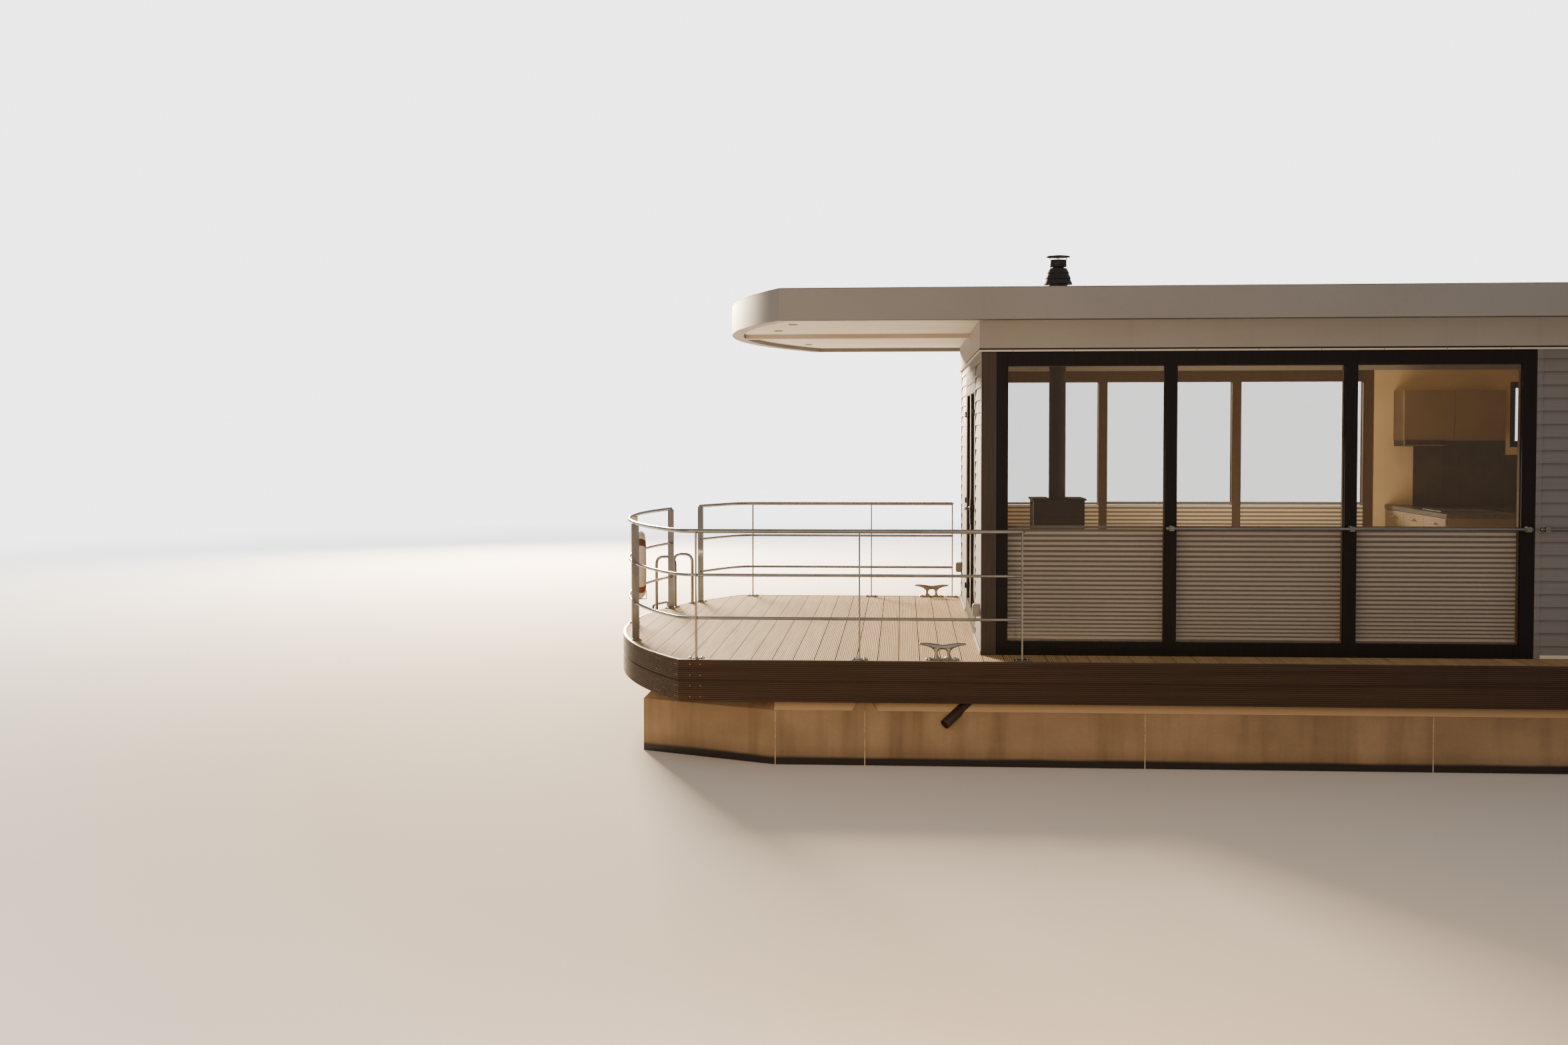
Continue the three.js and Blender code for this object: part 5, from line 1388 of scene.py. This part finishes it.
SOCKET = {"z": (0.285, 0.385), "half": 0.042, "thick": 0.052, "lid": 0.008, "lid_thick": 0.060}


def cabin_plan(grow):
    """The cabin's four corners, moved out by grow."""
    x0, x1, y0, y1 = REAR - grow, FRONT + grow, STARBOARD - grow, PORT + grow
    return np.array([[x0, y0], [x1, y0], [x1, y1], [x0, y1]])


trim_white = white_finish("trim_white", linear(206, 200, 190), linear(160, 148, 132))
corner_finish = mottled_finish("corner_profile", (58, 46, 35), (46, 37, 28), 0.5, 3.0, 0.0004,
                               (20.0, 20.0, 1.0))
low, high = HEAD - DRIP["lap"], HEAD + DRIP["tall"]
inner, outer = BAND_FACE + SEAM, BAND_FACE + DRIP["proud"]
drip = [(inner, low), (inner, high), (outer - DRIP["edge"], high), (outer, high - DRIP["edge"]),
        (outer, low + DRIP["edge"]), (outer - DRIP["edge"], low)]
piece("drip_strip", ring_moulding(drip, cabin_plan), trim_white)
# Painted shade: a dark rubber strip over the head band's lower edge stands for the shadow line there.
shade_strip = [(inner, high), (inner, high + SHADE_STRIP["tall"]), (BAND_FACE + SHADE_STRIP["proud"], high + SHADE_STRIP["tall"]),
        (BAND_FACE + SHADE_STRIP["proud"], high)]
piece("drip_shade_strip", ring_moulding(shade_strip, cabin_plan), rubber)

rivet_x = np.arange(REAR + 0.2, FRONT, DRIP["rivet_pitch"])
level = np.full(len(rivet_x), HEAD + DRIP["tall"] / 2)
rivets = np.concatenate([np.column_stack([rivet_x, np.full(len(rivet_x), wall), level])
                         for wall in (PORT + outer, STARBOARD - outer)])
rivet_turns = np.repeat([math.pi / 2, -math.pi / 2], len(rivet_x))
rivet = (side_screw[0] * DRIP["rivet"], side_screw[1])
piece("drip_rivets", scatter(rivet, rivets, rivet_turns), plastic, smooth=40)

profiles = [brick((FRAME_FRONT - CORNER["wide"], face + out * SEAM, DECK + 0.004),
                  (FRAME_FRONT + CORNER["round"], face + out * CORNER["thick"], HEAD - 0.0020))
            for face, out in ((PORT, 1), (STARBOARD, -1))]
piece("corner_profiles", gather(profiles), corner_finish, bevel=0.001)

door_low, door_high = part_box("terrace_door_frame")
door_half = (door_high.y - door_low.y) / 2 + 0.062
thick, high = FOOT_STRIP["bow"]
foot = [brick((FRONT + SEAM, y0, FOOT_STRIP["low"]), (FRONT + thick, y1, high))
        for y0, y1 in ((STARBOARD + 0.001, -door_half), (door_half, PORT - 0.001))]
thick, high = FOOT_STRIP["port"]
foot.append(brick((FRAME_REAR - 0.046, PORT + SEAM, FOOT_STRIP["low"]), (REAR + 0.05, PORT + thick, high)))
piece("wall_foot", gather(foot), trim_white, bevel=0.0015)

sockets = []
for inset, near, thick in ((0.0, SEAM, SOCKET["thick"]), (SOCKET["lid"], 0.050, SOCKET["lid_thick"])):
    low, high = DECK + SOCKET["z"][0] + inset, DECK + SOCKET["z"][1] - inset
    half = SOCKET["half"] - inset
    sockets += [brick((FRONT + near, y - half, low), (FRONT + thick, y + half, high))
                for y in (PORT - 0.17, STARBOARD + 0.19)]
piece("socket_boxes", gather(sockets), grey, bevel=0.004)

# %% [markdown]
# Each pane sits between black rubber gaskets. Just inside the glass edge a pale spacer keeps the two sheets
# of the unit apart. Both are picture frames: a small section carried round a rectangle.

# %% Gaskets and spacers
spacer = mottled_finish("pale_spacer", (120, 114, 106), (96, 91, 84), 0.4, 8.0, metallic=0.6)
GASKET = {"rubber": 0.0045, "spacer": 0.0060, "proud": 0.003}


def picture_frame(low, high, normal, cut, depth0, depth1):
    """A rectangular frame in the plane across "normal", "cut" wide inwards, between two depths."""
    a, b = [k for k in range(3) if k != normal]
    outer = np.array([[low[a], low[b]], [high[a], low[b]], [high[a], high[b]], [low[a], high[b]]])
    way = np.array([[1, 1], [-1, 1], [-1, -1], [1, -1]])
    sections = []
    for inset, depth in ((0, depth0), (cut, depth0), (cut, depth1), (0, depth1)):
        points = np.zeros((4, 3))
        points[:, [a, b]] = outer + way * inset
        points[:, normal] = depth
        sections.append(points)
    grid = np.stack(sections, axis=1)
    return outward(grid.reshape(-1, 3), quads(4, 4, True, True))


def around_pane(node, normal):
    """Gaskets on both faces of a pane and the spacer inside it."""
    low, high = (np.array(corner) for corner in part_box(node))
    near, far = low[normal], high[normal]
    wide, proud = GASKET["rubber"], GASKET["proud"]
    rubbers = [picture_frame(low, high, normal, wide, near - proud, near - SEAM),
               picture_frame(low, high, normal, wide, far + SEAM, far + proud)]
    third = (far - near) / 3
    between = (low + 0.001, high - 0.001, normal, GASKET["spacer"], near + third, far - third)
    return rubbers, picture_frame(*between)


BODY_PANES = {"houseboat": ([name for name in PANES if "door" not in name], 1),
              "terrace_door_port": (["terrace_door_port_pane"], 0),
              "terrace_door_starboard": (["terrace_door_starboard_pane"], 0),
              "rear_door": (["rear_door_pane"], 0)}
for body, (names, normal) in BODY_PANES.items():
    sets = [around_pane(name, normal) for name in names]
    label = "cabin" if body == "houseboat" else body
    rubbers = [shape for pair, _ in sets for shape in pair]
    piece(f"{label}_gaskets", gather(rubbers), rubber, body=body)
    piece(f"{label}_spacers", gather([shape for _, shape in sets]), spacer, body=body)
    print(label, "panes", len(names))

# %% [markdown]
# Each door has a lever handle on both faces, on a long plate with a lock cylinder. The lever is a bent round
# bar: it leaves the plate, turns and runs level towards the hinges.

# %% Door handles
HANDLE = {"height": 1.050, "plate": (0.036, 0.230, 0.006), "reach": 0.052, "lever": 0.115, "bar": 0.0095,
          "lock": -0.072}
LEAF_HALF = 0.025


def handle(middle, y, towards):
    """Handle sets on both faces of a leaf; "towards" is the way along y that the levers point."""
    shapes_round, shapes_flat = [], []
    z = DECK + HANDLE["height"]
    width, tall, thick = HANDLE["plate"]
    for way in (1, -1):
        face = middle + way * LEAF_HALF
        shapes_flat.append(brick((face + way * SEAM, y - width / 2, z - tall * 0.62),
                                 (face + way * thick, y + width / 2, z + tall * 0.38)))
        path = rounded([(face + way * 0.004, y, z), (face + way * HANDLE["reach"], y, z),
                        (face + way * HANDLE["reach"], y + towards * HANDLE["lever"], z)], 0.020)
        shapes_round.append(tube(path, HANDLE["bar"], sides=16))
        ring = [(face + way * d, y, z) for d in (0.005, 0.012, 0.014)]
        shapes_round.append(tube(ring, np.array([0.016, 0.016, 0.013]), sides=20))
        lock = [(face + way * d, y, z + HANDLE["lock"]) for d in (0.005, 0.010)]
        shapes_round.append(tube(lock, 0.009, sides=18))
    return gather(shapes_flat), gather(shapes_round)


DOORS = {"terrace_door_port": (0.045, 1), "rear_door": (0.060, 1), "terrace_door_starboard": (0.045, -1)}
for body, (edge, hinge) in DOORS.items():
    low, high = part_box(body)
    pane_low, pane_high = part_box(f"{body}_pane")
    free = low.y + edge if hinge > 0 else high.y - edge
    flat, bent = handle((pane_low.x + pane_high.x) / 2, free, hinge)
    piece(f"{body}_lock_plates", flat, steel, body=body, bevel=0.002)
    piece(f"{body}_handles", bent, steel, body=body, smooth=40)

# %% [markdown]
# The canopy carries four round lamps in its recess, and the saloon's ceiling six. A lamp is a turned ring
# with a frosted lens set back inside it.

# %% Lamps
lens = mottled_finish("frosted_lens", (238, 234, 224), (224, 218, 206), 0.25, 20.0)
lamp_ring = turned([(0, 0.0), (0.0425, 0.0), (0.0425, -0.003), (0.039, -0.006), (0.034, -0.006),
                    (0.031, -0.002), (0, -0.002)], 32)
lamp_lens = turned([(0, -0.0022), (0.0300, -0.0022), (0.0290, -0.0035), (0, -0.0042)], 32)
canopy = [(5.008, 1.558), (5.192, 0.717), (5.214, -0.405), (5.054, -1.581)]
ceiling_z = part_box("cabin_ceiling")[0].z
saloon = [(x, y) for x in (2.2, 0.6, -1.2) for y in (-1.2, 1.0)]
for name, z, spots_at in (("canopy", SOFFIT, canopy), ("saloon", ceiling_z, saloon)):
    at = [(x, y, z - SEAM) for x, y in spots_at]
    piece(f"{name}_lamp_rings", scatter(lamp_ring, at), steel, smooth=35)
    piece(f"{name}_lamp_lenses", scatter(lamp_lens, at), lens, smooth=35)

# %% [markdown]
# The roof's membrane is welded from sheets. Each weld shows as a low, flat band across the roof. Its section
# is 60 mm wide and 2 mm high, with slanted edges.

# %% Membrane welds
WELD = {"half": 0.030, "slope": 0.004, "high": 0.0022, "from_edge": 0.034}
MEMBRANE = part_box("roof_panel")[1].z
half, flat = WELD["half"], WELD["half"] - WELD["slope"]
section = [(-half, SEAM), (-flat, WELD["high"]), (flat, WELD["high"]), (half, SEAM)]
reach = ROOF_FORM["half"] - WELD["from_edge"]
stations = np.linspace(-reach, reach, 3)
welds = [loft(np.array([[(x + u, y, MEMBRANE + z) for u, z in section] for y in stations]))
         for x in np.arange(-4.6, 4.6, 1.5)]
piece("roof_welds", gather(welds), membrane)

# %% [markdown]
# The galley shows through the glass. Its fronts are separate panels with narrow gaps and bar handles, over
# a set-back plinth. Tiles line the wall over the worktop; their dark grey is painted shade, the shade that
# falls on this wall. A hood, a sink with its tap and a hob complete it. The panels are placed by dividing
# each run's length evenly, and the tiles by stepping from the wall's front edge and from the cabinets down.

# %% Galley
base_low, base_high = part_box("galley_base")
worktop_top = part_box("galley_worktop")[1].z
unit_low, unit_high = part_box("galley_wall_cabinets")
wall = unit_low.y
CABINET = {"aft": -1.892, "low": DECK + 1.648, "high": DECK + 2.155}
TILES = {"pitch": 0.150, "joint": 0.003, "thick": 0.007, "bed": 0.0055}
TILED = ((-2.015, -1.10, CABINET["low"]), (-2.780, -2.018, DECK + 1.500))
HOOD = {"aft": -1.30, "low": DECK + 1.592, "out": 0.040}
BASE = {"face": base_low.y + 0.600, "leg": base_high.x, "front": -1.46, "inner": -0.36, "panel": 0.018,
        "low": base_low.z + 0.100, "high": worktop_top - 0.048}
PULL = {"half": 0.09, "z": worktop_top - 0.10, "off": 0.028, "x": (-2.56, -2.12, -1.68),
        "y": (-1.96, -1.34, -0.68)}
TAP = {"x": -2.30, "back": -2.22, "spout": -2.03, "high": 0.30, "end": 0.24}
SINK = {"low": (-2.58, -2.16), "high": (-2.08, -1.80), "rim": 0.024}
HOB = {"low": (-1.40, -1.30), "high": (-0.90, -0.74)}


def run_of_fronts(start, end, plane, low, high, count, normal, out, gap=0.004, thick=0.018):
    """Evenly divided fronts along one axis, on a plane across the other."""
    edges = np.linspace(start, end, count + 1)
    shapes = []
    for a, b in zip(edges[:-1], edges[1:]):
        first, last = sorted((a, b))
        u0, u1 = first + gap / 2, last - gap / 2
        d0, d1 = sorted((plane + out * SEAM, plane + out * thick))
        corners = ((u0, d0), (u1, d1)) if normal == 1 else ((d0, u0), (d1, u1))
        shapes.append(brick((*corners[0], low), (*corners[1], high)))
    return shapes


def bar_handle(p, q, off):
    """A round bar between two points, standing off by the vector "off" on two feet."""
    p, q, off = (np.array(v, float) for v in (p, q, off))
    reach = q - p
    feet = [tube([p + reach * s, p + reach * s + off], 0.004, normal=reach, sides=10) for s in (0.1, 0.9)]
    return [tube([p + off, q + off], 0.0055, normal=off, sides=12)] + feet


levels = (BASE["low"], BASE["high"])
shapes = run_of_fronts(base_low.x + 0.01, BASE["front"], BASE["face"], *levels, 3, 1, 1)
shapes += run_of_fronts(base_low.y + 0.02, BASE["inner"], BASE["leg"], *levels, 3, 0, 1)
shapes += run_of_fronts(CABINET["aft"], unit_high.x, unit_high.y, CABINET["low"], CABINET["high"], 2, 1, 1)
piece("galley_fronts", gather(shapes), fronts, bevel=0.0015)
cabinets = brick((CABINET["aft"], wall, CABINET["low"]), (unit_high.x, unit_high.y, CABINET["high"]))
piece("galley_cabinets", cabinets, fronts, bevel=0.0015, replaces=["galley_wall_cabinets"])

tiles = []
side = TILES["pitch"] - TILES["joint"]
for aft, front, top in TILED:
    tiles.append(brick((aft, wall, worktop_top + SEAM), (front, wall + TILES["bed"], top - SEAM)))
    for x in np.arange(front, aft + 0.01, -TILES["pitch"]):
        for z in np.arange(top, worktop_top + 0.01, -TILES["pitch"]):
            low = (max(x - side, aft), wall + TILES["bed"], max(z - side, worktop_top + SEAM))
            tiles.append(brick(low, (x, wall + TILES["thick"], z - SEAM)))
piece("galley_tiles", gather(tiles), tile_painted_shade)

hood_face = unit_high.y + HOOD["out"]
hood = brick((HOOD["aft"], wall + TILES["thick"] + SEAM, HOOD["low"]),
             (unit_high.x - 0.004, hood_face, CABINET["low"] - SEAM))
strip = brick((HOOD["aft"] + 0.01, hood_face + SEAM, HOOD["low"] + 0.004),
              (unit_high.x - 0.014, hood_face + 0.004, HOOD["low"] + 0.016))
piece("galley_hood", hood, black, bevel=0.002)
piece("galley_hood_strip", strip, steel, bevel=0.001)

handles = []
for x in PULL["x"]:
    y = BASE["face"] + BASE["panel"]
    ends = [(x + way * PULL["half"], y, PULL["z"]) for way in (-1, 1)]
    handles += bar_handle(*ends, (0, PULL["off"], 0))
for y in PULL["y"]:
    x = BASE["leg"] + BASE["panel"]
    ends = [(x, y + way * PULL["half"], PULL["z"]) for way in (-1, 1)]
    handles += bar_handle(*ends, (PULL["off"], 0, 0))
piece("galley_handles", gather(handles), steel, smooth=40)

tap_foot = (TAP["x"], TAP["back"], worktop_top)
tap_path = rounded([tap_foot, (TAP["x"], TAP["back"], worktop_top + TAP["high"]),
                    (TAP["x"], TAP["spout"], worktop_top + TAP["high"]),
                    (TAP["x"], TAP["spout"], worktop_top + TAP["end"])], 0.07)
tap = [tube(tap_path, 0.011, normal=(1, 0, 0), sides=14),
       turned([(0, 0), (0.026, 0), (0.024, 0.012), (0, 0.014)], 24, tap_foot)]
piece("galley_tap", gather(tap), steel, smooth=40)

rim = picture_frame((*SINK["low"], 0), (*SINK["high"], 0), 2, SINK["rim"], worktop_top + SEAM,
                    worktop_top + 0.004)
inner_low, inner_high = np.array(SINK["low"]) + SINK["rim"], np.array(SINK["high"]) - SINK["rim"]
bowl = brick((*inner_low, worktop_top + SEAM), (*inner_high, worktop_top + 0.0012))
piece("galley_sink", gather([rim, bowl]), steel, bevel=0.001)
hob = brick((*HOB["low"], worktop_top + SEAM), (*HOB["high"], worktop_top + 0.006))
piece("galley_hob", hob, black, bevel=0.002)

# %% [markdown]
# The stove has a cast top in two halves beside the flue, a door with a glass window's rim and a handle,
# and a drawer front under it. These are plain bevelled plates on the block that the frame already holds.

# %% Stove
STOVE = {"x": FLUE[0], "half": 0.225, "face": 0.2253, "front": 0.240, "top": DECK + 0.080 + 1.050,
         "over": 0.015, "collar": 0.078}
sx0, sx1 = STOVE["x"] - STOVE["half"], STOVE["x"] + STOVE["half"]
top_low, top_high = STOVE["top"] + SEAM, STOVE["top"] + 0.018
plates = [brick((sx0 - STOVE["over"], -STOVE["front"], top_low),
                (STOVE["x"] - STOVE["collar"], STOVE["front"], top_high)),
          brick((STOVE["x"] + STOVE["collar"], -STOVE["front"], top_low),
                (sx1 + STOVE["over"], STOVE["front"], top_high)),
          picture_frame((sx0 + 0.04, 0, DECK + 0.42), (sx1 - 0.04, 0, DECK + 0.98), 1, 0.055,
                        STOVE["face"], STOVE["front"]),
          brick((sx0 + 0.05, STOVE["face"], DECK + 0.16), (sx1 - 0.05, 0.236, DECK + 0.34))]
piece("stove_plates", gather(plates), cast_iron, bevel=0.003)
grip = [(sx1 - 0.060, STOVE["front"], DECK + z) for z in (0.60, 0.80)]
piece("stove_handle", gather(bar_handle(*grip, (0, 0.030, 0))), steel, smooth=40)
